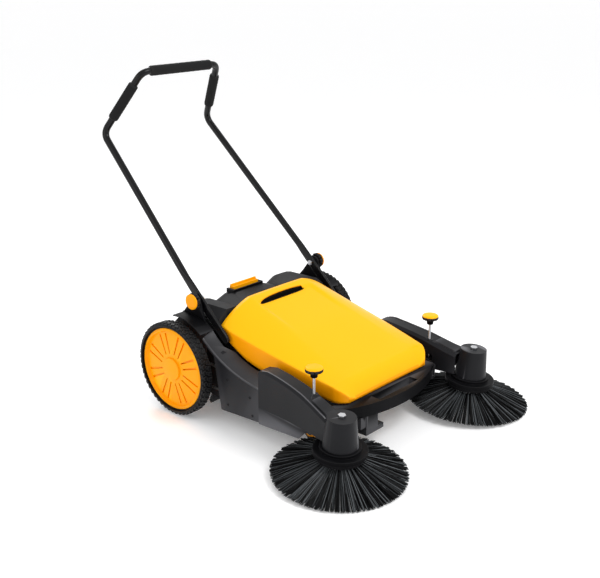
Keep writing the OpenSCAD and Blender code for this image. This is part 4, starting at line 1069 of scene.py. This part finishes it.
def sleeve(name, a, b, node, ref):
    steps = 40
    path = [a + (b - a) * (i / steps) for i in range(steps + 1)]
    length = (b - a).length
    halves = []
    for i in range(steps + 1):
        d = min(i, steps - i) / steps * length
        r = 0.0160 - 0.0042 * (1 - min(1.0, d / 0.006)) ** 2 - 0.0004 * math.sin(i * 0.9) ** 2
        halves.append((r, r))
    piece = tube(name, path, halves, 36, ref, foam, "handle")
    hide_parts(node)


for side, mirror in (("left", lambda v: v.copy()), ("right", flipped)):
    sleeve(f"grip_{side}_foam", mirror(bend + riser * 0.24), mirror(bend + riser * 0.80), f"grip_{side}",
            Vector((1, 0, 0)))
sleeve("grip_top_foam", Vector((-0.128, corner.y, corner.z)), Vector((0.128, corner.y, corner.z)),
        "grip_top", Vector((0, 0, 1)))

# --- Clamp knobs -------------------------------------------------------------------------------
# Black fluted nylon knobs with a pressed-in yellow disc, moulded round a steel bolt.
softened("clamp_nuts_forged", "clamp_nuts", "handle", steel, 0.0008)
for side, s in both_sides:
    low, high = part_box(f"clamp_knob_{side}")
    inner, outer = (low.x, high.x) if s > 0 else (high.x, low.x)
    face = abs(outer)
    centre = (0, axle.y - 0.033, 0.352)
    bolt = lathe(f"clamp_{side}_bolt", [(s * h, r) for h, r in ((abs(inner), 0.0), (abs(inner), 0.0040),
            (abs(inner) + 0.001, 0.0049), (0.275, 0.0049), (0.275, 0.0))], 32, centre, (1, 0, 0), False,
            [steel])
    body_profile = [(0.2725, 0.0), (0.2725, 0.0200), (0.2735, 0.0235), (0.2760, 0.0252), (0.2830, 0.0252),
            (0.2850, 0.0244), (0.2860, 0.0225), (0.2860, 0.0)]
    fluting = lathe(f"clamp_{side}_fluting", [(s * h, r) for h, r in body_profile], 126, centre, (1, 0, 0),
            False, [soot], smooth=50)
    fluted(fluting, centre, (1, 0, 0), 7, 0.0042, 0.017)
    disc_profile = [(0.2855, 0.0232), (0.2880, 0.0238), (0.2900, 0.0236), (face - 0.0008, 0.0222),
            (face - 0.0002, 0.0200), (face, 0.0150), (face, 0.0)]
    disc = lathe(f"clamp_{side}_disc", [(s * h, r) for h, r in disc_profile], 96, centre, (1, 0, 0), False,
            [hub_yellow], smooth=50)
    for piece, finish in ((bolt, "steel"), (fluting, "black_plastic"), (disc, "hub_yellow")):
        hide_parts(f"clamp_knob_{side}")
        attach(piece, f"clamp_{side}")

# --- Front casters -----------------------------------------------------------------------------
# Small swivel casters under the front frame: a black fork on a pin, and a yellow nylon wheel with
# a thin black rubber tread.
for side, s in both_sides:
    softened(f"caster_fork_{side}_pressing", f"caster_fork_{side}", f"caster_{side}", soot,
            0.0010)
    low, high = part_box(f"caster_wheel_{side}")
    middle = (low + high) / 2
    half, r = (high.x - low.x) / 2, (high.z - low.z) / 2
    centre = (middle.x, middle.y, middle.z)
    tread = lathe(f"caster_{side}_tread", [(-half, r - 0.006), (-half, r - 0.002), (-half + 0.002, r),
            (half - 0.002, r), (half, r - 0.002), (half, r - 0.006)], 64, centre, (1, 0, 0), True, [rubber])
    core = lathe(f"caster_{side}_core", [(-half + 0.001, 0.0042), (-half + 0.001, 0.008), (-half + 0.003,
            0.010), (-half + 0.003, r - 0.010), (-half + 0.001, r - 0.0062), (half - 0.001, r - 0.0062),
            (half - 0.003, r - 0.010), (half - 0.003, 0.010), (half - 0.001, 0.008), (half - 0.001,
            0.0042)], 64, centre, (1, 0, 0), True, [hub_yellow])
    for piece, finish in ((tread, "soft_rubber"), (core, "hub_yellow")):
        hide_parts(f"caster_wheel_{side}")
        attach(piece, f"caster_wheel_{side}")
